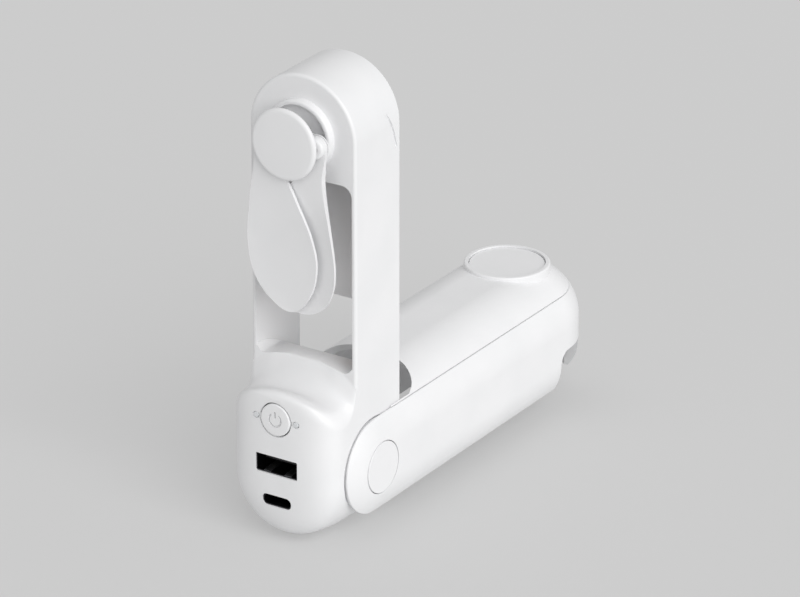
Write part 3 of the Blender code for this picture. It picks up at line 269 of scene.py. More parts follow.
def boolean(target, tool, operation):
    """Joins or subtracts the tool, which is used up."""
    alone(target)
    change = target.modifiers.new("shape", "BOOLEAN")
    change.operation, change.object, change.solver = operation, tool, "EXACT"
    bpy.ops.object.modifier_apply(modifier=change.name)
    bpy.data.objects.remove(tool)
    return in_order(target)


def cut(target, tool):
    return boolean(target, tool, "DIFFERENCE")


def fuse(target, tool):
    return boolean(target, tool, "UNION")


def tidy(target, weld=0.004, flat=0.4):
    """Joins doubled corners and flattens what a Boolean has split."""
    alone(target)
    bpy.ops.object.mode_set(mode="EDIT")
    bpy.ops.mesh.select_all(action="SELECT")
    bpy.ops.mesh.remove_doubles(threshold=weld)
    bpy.ops.mesh.dissolve_limited(angle_limit=math.radians(flat))
    bpy.ops.object.mode_set(mode="OBJECT")
    return target


def soften(target, width, angle=35.0, segments=3):
    """Rounds the sharp edges with a Bevel."""
    alone(target)
    bevel = target.modifiers.new("edges", "BEVEL")
    bevel.width, bevel.segments, bevel.limit_method = width, segments, "ANGLE"
    bevel.angle_limit = math.radians(angle)
    bevel.use_clamp_overlap = True
    bevel.miter_outer = "MITER_ARC"
    bpy.ops.object.modifier_apply(modifier=bevel.name)
    return target


def settle(made, body, finish, replaces=(), place=None, smooth=32.0):
    """Puts a finished piece in the frame's metres, smooths it and lets it ride."""
    if place is None:
        place = Matrix.Translation(HINGE)
    made.data.transform(Matrix.Scale(1 / MM, 4) @ place)
    if not len(made.data.polygons):
        raise RuntimeError(f"{made.name} came out empty")
    made.data.materials.clear()
    made.data.materials.append(finish)
    alone(made)
    bpy.ops.object.shade_smooth_by_angle(angle=math.radians(smooth))
    even = made.modifiers.new("even", "WEIGHTED_NORMAL")
    even.keep_sharp = True
    bpy.ops.object.modifier_apply(modifier=even.name)
    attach(made, body)
    if replaces:
        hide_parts(*replaces)
    return made


# Materials

def linear(code):
    """A linear RGBA colour from an sRGB hex value."""
    parts = [int(code[i:i + 2], 16) / 255 for i in (0, 2, 4)]
    return tuple(c / 12.92 if c <= 0.04045 else ((c + 0.055) / 1.055) ** 2.4 for c in parts) + (1.0,)


def node(tree, kind, settings=None, **links):
    """Adds a node, sets its properties and socket values, and links the named sockets."""
    made = tree.nodes.new(kind)
    for name, value in (settings or {}).items():
        if name in made.inputs:
            made.inputs[name].default_value = value
        else:
            setattr(made, name, value)
    for name, source in links.items():
        tree.links.new(source, made.inputs[name.replace("_", " ")])
    return made


def new_finish(name, colour, **sockets):
    """A material with its main shader's sockets set, as (material, tree, shader)."""
    finish = bpy.data.materials.new(name)
    finish.use_nodes = True
    shader = finish.node_tree.nodes["Principled BSDF"]
    shader.inputs["Base Color"].default_value = colour
    for socket, value in sockets.items():
        shader.inputs[socket.replace("_", " ")].default_value = value
    return finish, finish.node_tree, shader


def grained(made, grain, deep, tone, gloss, relief):
    """Fine noise of a grain in millimetres: it moves the colour a little, the gloss and the relief."""
    finish, tree, shader = made
    light = tuple(shader.inputs["Base Color"].default_value)
    place = node(tree, "ShaderNodeTexCoord").outputs["Object"]
    fine = node(tree, "ShaderNodeTexNoise", {"Scale": MM / grain, "Detail": 3.0}, Vector=place)
    broad = node(tree, "ShaderNodeTexNoise", {"Scale": MM / 18, "Detail": 2.0}, Vector=place)
    share = node(tree, "ShaderNodeMapRange", {"From Min": 0.35, "From Max": 0.75, "To Max": tone},
                 Value=broad.outputs["Fac"])
    mix = node(tree, "ShaderNodeMix", {"data_type": "RGBA"})
    tree.links.new(share.outputs["Result"], mix.inputs[0])
    mix.inputs[6].default_value, mix.inputs[7].default_value = light, deep
    tree.links.new(mix.outputs[2], shader.inputs["Base Color"])
    shine = node(tree, "ShaderNodeMapRange", {"To Min": gloss[0], "To Max": gloss[1]},
                 Value=fine.outputs["Fac"])
    tree.links.new(shine.outputs["Result"], shader.inputs["Roughness"])
    bump = node(tree, "ShaderNodeBump", {"Strength": 0.3, "Distance": relief / MM}, Height=fine.outputs["Fac"])
    tree.links.new(bump.outputs["Normal"], shader.inputs["Normal"])
    return finish


def brushed(made, stroke, gloss):
    """Long scratches along X, as a brush or a lathe leaves them on plated metal."""
    finish, tree, shader = made
    place = node(tree, "ShaderNodeTexCoord").outputs["Object"]
    drawn = node(tree, "ShaderNodeMapping", {"Scale": (60.0, MM / stroke, MM / stroke)}, Vector=place)
    lines = node(tree, "ShaderNodeTexNoise", {"Scale": 1.0, "Detail": 2.0}, Vector=drawn.outputs["Vector"])
    shine = node(tree, "ShaderNodeMapRange", {"To Min": gloss[0], "To Max": gloss[1]},
                 Value=lines.outputs["Fac"])
    tree.links.new(shine.outputs["Result"], shader.inputs["Roughness"])
    bump = node(tree, "ShaderNodeBump", {"Strength": 0.2, "Distance": 0.01 / MM}, Height=lines.outputs["Fac"])
    tree.links.new(bump.outputs["Normal"], shader.inputs["Normal"])
    return finish


def make_finishes(look):
    """Every finish of the fan, by the name of what it covers."""
    shell, fan = tuple(look.shell_colour), tuple(look.fan_colour)
    low = look.shell_gloss
    return {
        # White ABS moulded in a spark-eroded tool: a satin skin with a very fine grain, no metal in it
        "shell": grained(new_finish("moulded_white_abs_satin", shell, IOR=1.5), 0.45, linear("E6E7E8"), 0.5,
                         (low, low + 0.08), 0.012),
        # The same ABS from a smoother tool: the caps, the disc and the button look a little glossier
        "trim": grained(new_finish("moulded_white_abs_smooth", shell, IOR=1.5), 0.7, linear("E8E9EA"), 0.4,
                        (low - 0.06, low + 0.02), 0.006),
        # White polypropylene blades: waxy soft gloss, with light passing a little under the skin
        "fan": grained(new_finish("moulded_white_polypropylene", fan, IOR=1.49), 0.9, linear("E3E4E5"), 0.5,
                       (low - 0.05, low + 0.03), 0.008),
        # Zinc-plated steel turned on a lathe: grey, with fine scratches
        "steel": brushed(new_finish("turned_zinc_plated_steel", linear("C2C3C6"), Metallic=1.0), 0.08,
                         (0.22, 0.38)),
        # Deep-drawn steel with black nickel: the port shells, nearly black with a metal glint
        "port": brushed(new_finish("drawn_black_nickel_steel", linear("47474A"), Metallic=1.0), 0.1,
                        (0.25, 0.42)),
        # Black glass-filled nylon: socket tongues, switch and chips, dull with a pale fibre fleck
        "black": grained(new_finish("moulded_black_nylon", linear("141416"), IOR=1.53), 0.3, linear("232326"),
                         0.6, (0.42, 0.6), 0.01),
        # Gold-flashed copper alloy: the contacts
        "contact": brushed(new_finish("stamped_gold_flashed_contact", linear("D9B45C"), Metallic=1.0), 0.05,
                           (0.18, 0.3)),
        # Glass-epoxy board under a green lacquer mask: semi-gloss over a woven cloth
        "board": grained(new_finish("lacquered_glass_epoxy_board", linear("1E6B3C"), IOR=1.55), 0.8,
                         linear("18552F"), 0.8, (0.28, 0.4), 0.02),
        # Aluminium-laminate pouch: silver foil with slight creases
        "foil": brushed(new_finish("laminated_aluminium_foil", linear("D3D4D8"), Metallic=1.0), 0.9,
                        (0.28, 0.46)),
        # Closed-cell polyethylene foam, skived: dark grey and matt, with open cells
        "foam": grained(new_finish("skived_closed_cell_foam", linear("4A4B4E"), IOR=1.45), 0.35,
                        linear("333437"), 0.9, (0.85, 0.95), 0.12),
        # Frosted polycarbonate light pipes: milky
        "lens": grained(new_finish("frosted_polycarbonate", linear("EFF1F3"), IOR=1.58,
                                   Transmission_Weight=0.15), 0.4, linear("E6E9EC"), 0.4, (0.22, 0.32), 0.008),
        # Polyimide film over copper: amber and glossy
        "lead": grained(new_finish("laminated_polyimide_film", linear("B5701F"), IOR=1.6), 0.6,
                        linear("96591A"), 0.7, (0.2, 0.32), 0.008),
    }


# Shapes that several pieces share

def shell_half(height, radius=SHOULDER):
    """Half width of the handle's rounded section at a height."""
    beyond = max(abs(height) - FLAT, 0)
    return FLAT + math.sqrt(max(radius ** 2 - beyond ** 2, 0))


def block_half_at(front):
    """Half width of the block at a distance before the hinge."""
    beyond = max(front - (BLOCK_FRONT - BLOCK_ROUND), 0) / BLOCK_ROUND
    return ARM_HALF * max(1 - beyond ** CROWN, 0) ** (1 / CROWN)


def block_front_at(x):
    """How far the block reaches before the hinge at x."""
    share = min(abs(x) / ARM_HALF, 1)
    return BLOCK_FRONT - BLOCK_ROUND + BLOCK_ROUND * (1 - share ** CROWN) ** (1 / CROWN)


def read_line(line, place):
    """Height of a line of (place, height) points, straight between them."""
    for (a, low), (b, high) in zip(line, line[1:]):
        if place <= b:
            return low + (high - low) * max(place - a, 0) / (b - a)
    return line[-1][1]


# The block's top along its middle, from the sill's lip over the steep fall to the crease and the front
SCOOP = smooth_line(((LIP_START, SILL), (7.3, 29.82), (7.9, 29.3), (8.25, 28.6), (8.6, 27.7), (9.2, 26.6),
                     (10.2, 25.7), (12.0, 25.0), (14.5, 24.65), (17.0, CREASE), (19.2, CREASE), (20.2, 24.35),
                     (20.85, 23.7), (BLOCK_FRONT, 22.6)), 91)


def scoop_top(front):
    """Height along the middle at a distance before the hinge: lip, steep fall, then the soft crease."""
    return read_line(SCOOP, front)


def hollow_dip(x, front):
    """The round dip in the middle of the scoop."""
    share = (front - HOLLOW_START) / HOLLOW_LONG
    if not 0 < share < 1:
        return 0.0
    return HOLLOW * math.sin(math.pi * share ** 0.8) ** 2 * max(1 - (x / HOLLOW_HALF) ** 2, 0) ** 1.2


def block_top(x, front):
    """Height of the block's top, with its soft corners and the hollow where it leaves the arm."""
    half, drop, beyond = block_half_at(front), arch_drop(x, BLOCK_ARCH), max(front - ARM_FRONT, 0)
    height = scoop_top(front) - drop - hollow_dip(x, front)
    rise = min(drop, COVE)
    if 0 < rise and beyond < rise:
        height += rise * (1 - math.sqrt(1 - (1 - beyond / rise) ** 2))
    soft = min(EDGE_SOFT + (SHOULDER_SOFT - EDGE_SOFT) * min(beyond / SOFT_RUN, 1), 0.8 * half)
    over = max(abs(x) - (half - soft), 0) / soft
    return height - soft * (1 - math.sqrt(max(1 - over ** 2, 0)))


def block_reach(x):
    """How far from the hinge axis the block's top reaches at x, when it turns."""
    first, last = vault_start(), block_front_at(x)
    fronts = [first + (last - first) * i / 24 for i in range(25)]
    return max(math.hypot(front, scoop_top(front) - arch_drop(x, BLOCK_ARCH)) for front in fronts)


def vault_start():
    """Height at which the handle's inner vault leaves its straight sides."""
    return FLAT + math.sqrt((SHOULDER - WALL) ** 2 - (ARM_HALF + FIT - FLAT) ** 2)


def handle_outline(half, front, steps=96):
    """The handle seen from above: straight sides and a half round end."""
    return [(half, front)] + arc((0, FAR), half, 0, 180, steps) + [(-half, front)]


def handle_hollow(low, high):
    """The room inside the handle between two heights."""
    inner, side, bend = SHOULDER - WALL, ARM_HALF + FIT, vault_start()
    start = math.asin((bend - FLAT) / inner)
    heights = [low, bend]
    heights += [FLAT + inner * math.sin(start + (math.pi / 2 - start) * i / 16) for i in range(1, 17)]
    rings = []
    for z in [h for h in heights if h <= high]:
        half = side if z <= bend else shell_half(z, inner)
        rings.append(on_plane(handle_outline(half, CHEEK, 72), "XY", z))
    return drawn_out("hollow", rings)


def hinge_space():
    """All that is turned out about the hinge: caps, screws, pads and the block's sweep."""
    side, pad, out = ARM_HALF + FIT, PAD_HALF + FIT, HANDLE_HALF + 2
    half = [(0, out), (CAP + SEAM, out), (CAP + SEAM, 18.2), (3.9, 18.2), (3.9, 17.0), (2.6, 17.0), (2.6, pad),
            (PAD_ROUND, pad), (PAD_ROUND, side)]
    sweep = []
    for i in range(49):
        x = side * (1 - 2 * i / 48)
        sweep.append((block_reach(max(min(x, ARM_HALF), -ARM_HALF)) + SWEEP_ROOM, x))
    return turned("space", half + sweep + [(r, -x) for r, x in reversed(half)], "X", steps=128)


# Settings

class Look(bpy.types.PropertyGroup):
    """What a user may change before the pieces are made"""

    shell_colour: bpy.props.FloatVectorProperty(
        name="Shell colour", description="White of the moulded shells", subtype="COLOR", size=4, min=0, max=1,
        default=linear("EFEFF0"))
    fan_colour: bpy.props.FloatVectorProperty(
        name="Fan colour", description="White of the blades and the hub cap", subtype="COLOR", size=4, min=0,
        max=1, default=linear("EDEDEE"))
    shell_gloss: bpy.props.FloatProperty(
        name="Shell roughness", description="Roughness of the satin shells", subtype="FACTOR", min=0.1, max=0.9,
        default=0.32)
    edge: bpy.props.FloatProperty(
        name="Edge radius", description="Rounding of the moulded edges", unit="LENGTH", min=0.0001, max=0.0006,
        default=0.0003)
    blade_edge: bpy.props.FloatProperty(
        name="Blade edge radius", description="Rounding of the blades' rims", unit="LENGTH", min=0.0001,
        max=0.00035, default=0.00022)


class Studio(bpy.types.PropertyGroup):
    """Floor, light and camera"""

    floor_colour: bpy.props.FloatVectorProperty(
        name="Floor colour", description="Grey of the floor", subtype="COLOR", size=4, min=0, max=1,
        default=linear("DFDFDF"))
    key_strength: bpy.props.FloatProperty(
        name="Key light", description="Strength of the soft light from the right", min=0, max=10, default=1.9)
    sky_strength: bpy.props.FloatProperty(
        name="Surrounding light", description="Strength of the even light all round", min=0, max=2,
        default=0.53)
    lens: bpy.props.FloatProperty(
        name="Lens", description="Focal length of the camera on a 36 mm sensor", subtype="DISTANCE_CAMERA",
        min=20, max=400, default=243.8)


# Pieces

FINISHES = {}


class FAN_OT_finishes(bpy.types.Operator):
    """Make every finish and dress the frame's own nodes with it"""

    bl_idname = "fan.finishes"
    bl_label = "Finishes"

    def execute(self, context):
        FINISHES.update(make_finishes(context.scene.fan_look))
        for part in frame["record"]["subparts"]:
            made = frame["nodes"][part["node"]]
            for place in made.material_slots:
                place.material = FINISHES[SLOT_FINISHES[part["material_slot"]]]
        return {"FINISHED"}


class FAN_OT_side_frame(bpy.types.Operator):
    """Model the handle's side wall with its two round cheeks"""

    bl_idname = "fan.side_frame"
    bl_label = "Side frame"

    def execute(self, context):
        low = math.degrees(math.asin((RIM - FLAT) / SHOULDER))
        top = math.degrees(math.asin((CHEEK - FLAT) / SHOULDER))
        heights = [-FLAT - SHOULDER * math.sin(math.radians(low * (1 - i / 12))) for i in range(13)]
        heights += [-FLAT + 2 * FLAT * i / 8 for i in range(1, 9)]
        heights += [FLAT + SHOULDER * math.sin(math.radians(top * i / 12)) for i in range(1, 13)]
        rings = []
        for z in heights:
            reach = math.sqrt(max(CHEEK ** 2 - z ** 2, 0))
            nose = [-reach * math.cos(math.radians(90 * i / 20)) for i in range(20)]
            right = [(shell_half(math.hypot(y, z)), y) for y in nose]
            left = [(-x, y) for x, y in reversed(right)]
            rings.append(on_plane(right + arc((0, FAR), shell_half(z), 0, 180, 96) + left, "XY", z))
        made = drawn_out("handle_side_frame", rings)
        points = [(NOTCH_FAR, -RIM - 2), (NOTCH_FAR, NOTCH_TOP - 1.0), (NOTCH_FAR - 2.3, NOTCH_TOP - 0.4),
                  (NOTCH_FAR - 4.8, NOTCH_TOP)]
        points += arc((NOTCH_NEAR + NOTCH_CORNER, NOTCH_TOP - NOTCH_CORNER), NOTCH_CORNER, 90, 180, 16)
        for near, far in ((9, 22), (-22, -9)):
            cut(made, bar("notch", points + [(NOTCH_NEAR, -RIM - 2)], "YZ", near, far))
        cut(made, handle_hollow(-RIM - 2, HANDLE_HALF))
        cut(made, hinge_space())
        soften(tidy(made), context.scene.fan_look.edge * MM * 0.6)
        settle(made, "handle", FINISHES["shell"], ["side_frame"])
        return {"FINISHED"}


class FAN_OT_ridge_cover(bpy.types.Operator):
    """Model the handle's arched top with its round bump"""

    bl_idname = "fan.ridge_cover"
    bl_label = "Ridge cover"

    def execute(self, context):
        start = math.degrees(math.asin((SEAM_HEIGHT + SEAM / 2 - FLAT) / SHOULDER))
        turns = [math.radians(start + (90 - start) * i / 24) for i in range(25)]
        rings = [on_plane(handle_outline(FLAT + SHOULDER * math.cos(a), 8), "XY", FLAT + SHOULDER * math.sin(a))
                 for a in turns]
        made = drawn_out("handle_ridge_cover", rings)
        cut(made, handle_hollow(FLAT, HANDLE_HALF))
        rim, centre = HANDLE_HALF + BUMP_RISE, (0, HUB, 0)
        fuse(made, coin("bump", BUMP, "Z", 16.4, rim, 0.5, centre, 128))
        cut(made, coin("pocket", 10.9, "Z", 0, rim - 2.2, 0, centre, 128))
        cut(made, coin("recess", DISC + 0.2, "Z", rim - 1.5, rim + 2, 0, centre, 128))
        cut(made, hinge_space())
        soften(tidy(made), context.scene.fan_look.edge * MM * 0.6)
        settle(made, "handle", FINISHES["shell"], ["ridge_cover"])
        return {"FINISHED"}


class FAN_OT_round_inlays(bpy.types.Operator):
    """Model the bump's disc and the two hinge caps"""

    bl_idname = "fan.round_inlays"
    bl_label = "Disc and hinge caps"

    def execute(self, context):
        top = HANDLE_HALF + BUMP_RISE - 0.5
        disc = coin("bump_inlay", DISC, "Z", top - 0.7, top, 0.15, (0, HUB, 0), 128)
        settle(disc, "handle", FINISHES["trim"], ["bump_disc"])
        for side, sign in (("right", 1), ("left", -1)):
            cap = coin(f"hinge_cover_{side}", CAP, "X", sign * (HANDLE_HALF - 1.2), sign * HANDLE_HALF, 0.18)
            settle(cap, "handle", FINISHES["trim"], [f"hinge_cap_{side}"])
        return {"FINISHED"}


class FAN_OT_arm(bpy.types.Operator):
    """Model the upright arm and its ports block as one moulding"""

    bl_idname = "fan.arm"
    bl_label = "Arm and ports block"

    def block(self):
        """The block, drawn from its back to its rounded front."""
        coves = (0, 0.1, 0.25, 0.45, 0.7, 1.0, 1.35, 1.75, 2.2, 2.7, 3.3)
        fronts = [-ARM_BACK] + [ARM_FRONT + reach for reach in coves]
        for i in range(41):
            share = math.sin(math.radians(87 * i / 40)) ** (2 / CROWN)
            fronts.append(BLOCK_FRONT - BLOCK_ROUND + BLOCK_ROUND * share)
        rings = []
        for front in fronts:
            half = block_half_at(front)
            across = [half * math.cos(math.radians(180 * i / 56)) for i in range(57)]
            outline = [(x, block_top(x, front) if front > 0 else 22 - arch_drop(x, BLOCK_ARCH)) for x in across]
            rise = min(max((front - 2) / 14, 0), 1)
            low = -BLOCK_DROP + CHIN_RISE * rise * rise * (3 - 2 * rise)
            outline += [(x, max(z, -FOOT)) for x, z in arc((0, low), half, 180, 360, 64)]
            rings.append(on_plane(outline, "XZ", -front))
        return drawn_out("block", rings)

    def window(self):
        """The tall opening, whose lower edge is the arched sill."""
        corner, reach = WINDOW_CORNER, RAIL_HALF - WINDOW_CORNER
        low = SILL - arch_drop(reach, SILL_ARCH)
        points = arc((reach, WINDOW_TOP - corner), corner, 0, 90, 12)
        points += arc((-reach, WINDOW_TOP - corner), corner, 90, 180, 12)
        points += arc((-reach, low + corner), corner, 180, 260, 12)
        points += [(x, SILL - arch_drop(x, SILL_ARCH)) for x in [reach * (i / 16 - 1) for i in range(1, 32)]]
        points += arc((reach, low + corner), corner, 280, 360, 12)
        return bar("window", points, "XZ", -25, 15)

    def sill(self):
        """What is taken off to round the sill's back."""
        centre = (-LIP_START, SILL - SILL_ROUND)
        points = [(-front, scoop_top(front)) for front in (8.4, 8.1, 7.8, 7.5, 7.2, 6.9)]
        points += arc(centre, SILL_ROUND, 90, 0, 32) + [(15, centre[1]), (15, SILL + 2), (-8.4, SILL + 2)]
        return bar("sill", points, "YZ", -RAIL_HALF, RAIL_HALF)

    def hollows(self, made):
        """The head's hollow, the block's cell bay, the bay under the scoop and the switch's bay."""
        cut(made, bar("head", stadium(RAIL_HALF, WINDOW_TOP - 6, HUB), "XZ", -ARM_FRONT + PLATE, 15))
        rings = []
        for front in (-15, 11.7, 13.2, 14.7, 16.0, 17.2, 18.2, 18.8):
            half = CAVITY_HALF * (1 - (max(front - 11.7, 0) / 7.5) ** 2.4) ** (1 / 2.4)
            low = -BLOCK_DROP + CHIN_RISE * min(max((front - 4) / 12, 0), 1)
            bay = [(half, 11.5), (-half, 11.5)] + arc((0, low), half, 180, 360, 48)
            rings.append(on_plane(bay, "XZ", -front))
        cut(made, drawn_out("cells", rings))
        half, top = 12.0, CREASE - 5.6
        roof = [(half * (1 - i / 8), top - arch_drop(half * (1 - i / 8), BLOCK_ARCH)) for i in range(17)]
        cut(made, bar("under_scoop", [(half, 0)] + roof + [(-half, 0)], "XZ", -11.7, 4))
        cut(made, bar("switch_bay", rounded_box((0, 14.6), 6.8, 10.2, 0.4, 2), "XZ", -SWITCH_BAY, -9.7))

    def hinge_sides(self, made):
        """On each side the hinge's stepped recess and the curved groove for a fingernail."""
        profile = [(0, 11.7), (2.6, 11.7), (2.6, 14.7), (5.5, 14.7), (5.5, PAD_HALF), (CHEEK + FIT, PAD_HALF),
                   (CHEEK + FIT, 18.3), (0, 18.3)]
        first, last, bend, half = 13, 45, 30, 0.45
        centre = (ARM_BACK - 1.4 - bend * math.cos(math.radians(first)),
                  HUB - 6.4 - bend * math.sin(math.radians(first)))
        crescent = arc(centre, bend + half, first, last, 20) + arc(centre, bend - half, last, first, 20)
        for sign in (1, -1):
            cut(made, turned("recess", [(r, sign * x) for r, x in profile], "X", steps=128))
            faces = sorted((sign * (ARM_HALF - 0.5), sign * (ARM_HALF + 2)))
            cut(made, bar("groove", crescent, "YZ", *faces))

    def motor_seat(self, made):
        """The ring round the motor, and the hole for its nose."""
        face, inner = -ARM_FRONT, -ARM_FRONT - BOSS_PROUD
        outer_edge = round_edge(BOSS, inner, 0.7, 1)
        inner_edge = [(BOSS_BORE + 0.25 - 0.25 * math.sin(math.radians(a)),
                       inner + 0.25 - 0.25 * math.cos(math.radians(a))) for a in (0, 30, 60, 90)]
        profile = [(BOSS_BORE, face + 0.9), (BOSS, face + 0.9)] + outer_edge + inner_edge
        fuse(made, turned("boss", profile, "Y", (0, 0, HUB), 128))
        cut(made, coin("nose", 3.3, "Y", face - 2, face + PLATE + 2, 0, (0, 0, HUB), 64))

    def front_openings(self, made):
        """The button's pocket with its two ears, the light pipes' holes and the two ports."""
        face = -BLOCK_FRONT
        profile = [(0, face - 2), (4.8, face - 2), (4.8, -18.9), (1.8, -18.9), (1.8, -14.8), (0, -14.8)]
        cut(made, turned("pocket", profile, "Y", (0, 0, BUTTON_HEIGHT), 96))
        ears = arc((0, 0), 4.9, 9, 171, 40) + arc((-LENS_SIDE, 0), 1.1, 140, 220, 12)[1:-1]
        ears += arc((0, 0), 4.9, 189, 351, 40) + arc((LENS_SIDE, 0), 1.1, -40, 40, 12)[1:-1]
        cut(made, bar("ears", [(x, z + BUTTON_HEIGHT) for x, z in ears], "XZ", face - 2, face + 0.45))
        for sign in (1, -1):
            cut(made, coin("lens_hole", LENS + 0.12, "Y", face - 2, face + 3.3, 0,
                           (sign * LENS_SIDE, 0, BUTTON_HEIGHT), 48))
        for height, width, tall, corner in PORTS.values():
            rings = [on_plane(rounded_box((0, height), width + grow, tall + grow, corner + grow / 2), "XZ", y)
                     for grow, y in ((0.7, face - 0.2), (0.3, face), (0.08, face + 0.12), (0, face + 0.3),
                                     (0, face + 4))]
            cut(made, drawn_out("port", rings))

    def posts(self, made):
        """The four webbed posts for the plates' screws, and the slot for the motor's lead."""
        sizes = {"block": (2.2, 4.2, 3.0, 10.9), "head": (2.4, 2.3, 1.7, 10.7)}
        turns = {"block": (-90, -90), "head": (45, 135)}
        for (x, z), turn, (radius, web, front, back) in [
                (place, turn, sizes[name]) for name in sizes for place, turn in zip(SCREWS[name], turns[name])]:
            a = math.radians(turn)
            side = Vector((-math.sin(a), math.cos(a))) * radius
            end = Vector((x, z)) + Vector((math.cos(a), math.sin(a))) * web
            outline = arc((x, z), radius, turn + 90, turn + 270, 16) + [tuple(end - side), tuple(end + side)]
            fuse(made, bar("post", outline, "XZ", front, back))
            cut(made, coin("post_hole", 1.2, "Y", 5.7, 15, 0, (x, 0, z), 32))
        cut(made, bar("lead_slot", rounded_box((13.325, 22), 3.25, 16, 0.4, 1), "XZ", -3, 3))

    def execute(self, context):
        edges = [(ARM_BACK, ARM_HALF)] + [(-ARM_FRONT + 0.9 - 0.9 * math.sin(math.radians(a)),
                                           ARM_HALF - 0.9 + 0.9 * math.cos(math.radians(a)))
                                          for a in (0, 15, 30, 45, 60, 75, 90)]
        made = drawn_out("arm_moulding", [on_plane(stadium(half, -BLOCK_DROP, HUB, 72), "XZ", y)
                                          for y, half in edges])
        fuse(made, self.block())
        cut(made, self.window())
        cut(made, self.sill())
        tidy(soften(tidy(made), context.scene.fan_look.edge * MM), 0.002, 0.05)
        self.hollows(made)
        self.hinge_sides(made)
        self.motor_seat(made)
        self.front_openings(made)
        self.posts(made)
        settle(tidy(made, 0.002, 0.2), "arm", FINISHES["shell"], ["arm_frame"])
        return {"FINISHED"}


class FAN_OT_back_plates(bpy.types.Operator):
    """Model the two inset back plates and their four cross-slotted screws"""

    bl_idname = "fan.back_plates"
    bl_label = "Back plates and screws"

    def execute(self, context):
        half = CAVITY_HALF - FIT
        low = [(half, 11.2), (-half, 11.2)] + arc((0, -BLOCK_DROP), half, 180, 360, 72)
        high = stadium(RAIL_HALF - FIT, PANEL_BOTTOM, HUB, 72)
        for name, outline, thick in (("block", low, BACK_PLATE), ("head", high, PLATE)):
            plate = bar(f"{name}_back_plate", outline, "XZ", ARM_BACK - thick, ARM_BACK)
            soften(plate, 0.25)
            for x, z in SCREWS[name]:
                profile = [(0, 5), (1.2, 5), (1.2, 11.7), (1.9, 11.7), (1.9, 15), (0, 15)]
                cut(plate, turned("screw_seat", profile, "Y", (x, 0, z), 48))
            settle(plate, "arm", FINISHES["shell"], [f"{name}_back_cover"])
        face = ARM_BACK - 0.1
        profile = [(0, face - 6.5), (0.9, face - 6.5), (0.9, face - 0.7), (1.6, face - 0.7)]
        screw = turned("plate_screw_1", profile + round_edge(1.6, face, 0.2, -1) + [(0, face)], "Y", steps=48)
        for width, tall in ((0.4, 1.9), (1.9, 0.4)):
            cut(screw, bar("slot", rounded_box((0, 0), width, tall, 0.12, 2), "XZ", face - 0.4, face + 1))
        base = screw.data.copy()
        for i, (x, z) in enumerate(SCREWS["block"] + SCREWS["head"], 1):
            copy = alone(screw)
            if i > 1:
                bpy.ops.object.duplicate(linked=False)
                copy = bpy.context.object
                copy.data = base.copy()
            copy.name = copy.data.name = f"plate_screw_{i}"
            settle(copy, "arm", FINISHES["steel"], [f"cover_screw_{i}"],
                   Matrix.Translation(HINGE + Vector((x, 0, z))))
        return {"FINISHED"}


class FAN_OT_button(bpy.types.Operator):
    """Model the power button with its sunk symbol, and the two light pipes"""

    bl_idname = "fan.button"
    bl_label = "Button and light pipes"

    def execute(self, context):
        face = -BLOCK_FRONT - 0.2
        collar = -SWITCH_BAY + FIT
        profile = [(BUTTON, face + 1.5)] + round_edge(BUTTON, face, 0.35, 1)
        profile += [(0, face), (0, -15.2), (1.5, -15.2), (1.5, collar + 0.6), (2.2, collar + 0.6),
                    (2.2, collar), (1.5, collar), (1.5, face + 1.5)]
        button = turned("power_key", profile, "Y", (0, 0, BUTTON_HEIGHT), 96)
        outline = arc((0, 0), 2.05, 128, 412, 40) + arc((0, 0), 1.55, 412, 128, 40)
        for shape in (outline, rounded_box((0, 1.45), 0.5, 1.9, 0.24, 3)):
            moved = [(x, z + BUTTON_HEIGHT) for x, z in shape]
            cut(button, bar("mark", moved, "XZ", face - 0.2, face + 0.55))
        settle(button, "power_button", FINISHES["trim"], ["power_button"])
        for side, sign in (("right", 1), ("left", -1)):
            lens = coin(f"light_pipe_{side}", LENS, "Y", -BLOCK_FRONT + 3, -BLOCK_FRONT + 0.2, 0.15,
                        (sign * LENS_SIDE, 0, BUTTON_HEIGHT), 48)
            settle(lens, "arm", FINISHES["lens"], [f"indicator_lens_{side}"])
        return {"FINISHED"}


class FAN_OT_contacts(bpy.types.Operator):
    """Model the ports' liners, and the wide port's springs and contacts"""

    bl_idname = "fan.contacts"
    bl_label = "Port contacts"

    def execute(self, context):
        low, high = (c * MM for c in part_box("usb_a_tongue"))
        for name, (height, width, tall, corner) in PORTS.items():
            outside = rounded_box((0, height), width - 0.04, tall - 0.04, corner)
            inside = rounded_box((0, height), width - 0.6, tall - 0.6, max(corner - 0.25, 0.15))
            liner = bar(f"{name}_port_liner", outside, "XZ", -20.6, -18.95)
            cut(liner, bar("inside", inside, "XZ", -21, -18))
            settle(liner, "arm", FINISHES["port"])
        bends = ((-20.4, 0.2), (-19.4, 0.45), (-13.5, 0.75), (-12.6, 0.4))
        for i, x in enumerate((-3.2, 3.2), 1):
            rings = [on_plane(rounded_box((x, PORTS["wide"][0] - 2.5 + lift), 2.2, 0.25, 0.1, 2), "XZ", y)
                     for y, lift in bends]
            spring = drawn_out(f"port_spring_{i}", rings)
            settle(spring, "arm", FINISHES["steel"])
        for i, aside in enumerate((-3.5, -1.0, 1.0, 3.5), 1):
            section = rounded_box(((low.x + high.x) / 2 + aside, low.z - 0.06), 1.0, 0.14, 0.06, 2)
            strip = bar(f"port_contact_{i}", section, "XZ", low.y + 1.2, high.y - 0.4)
            settle(strip, "arm", FINISHES["contact"], place=Matrix.Identity(4))
        return {"FINISHED"}


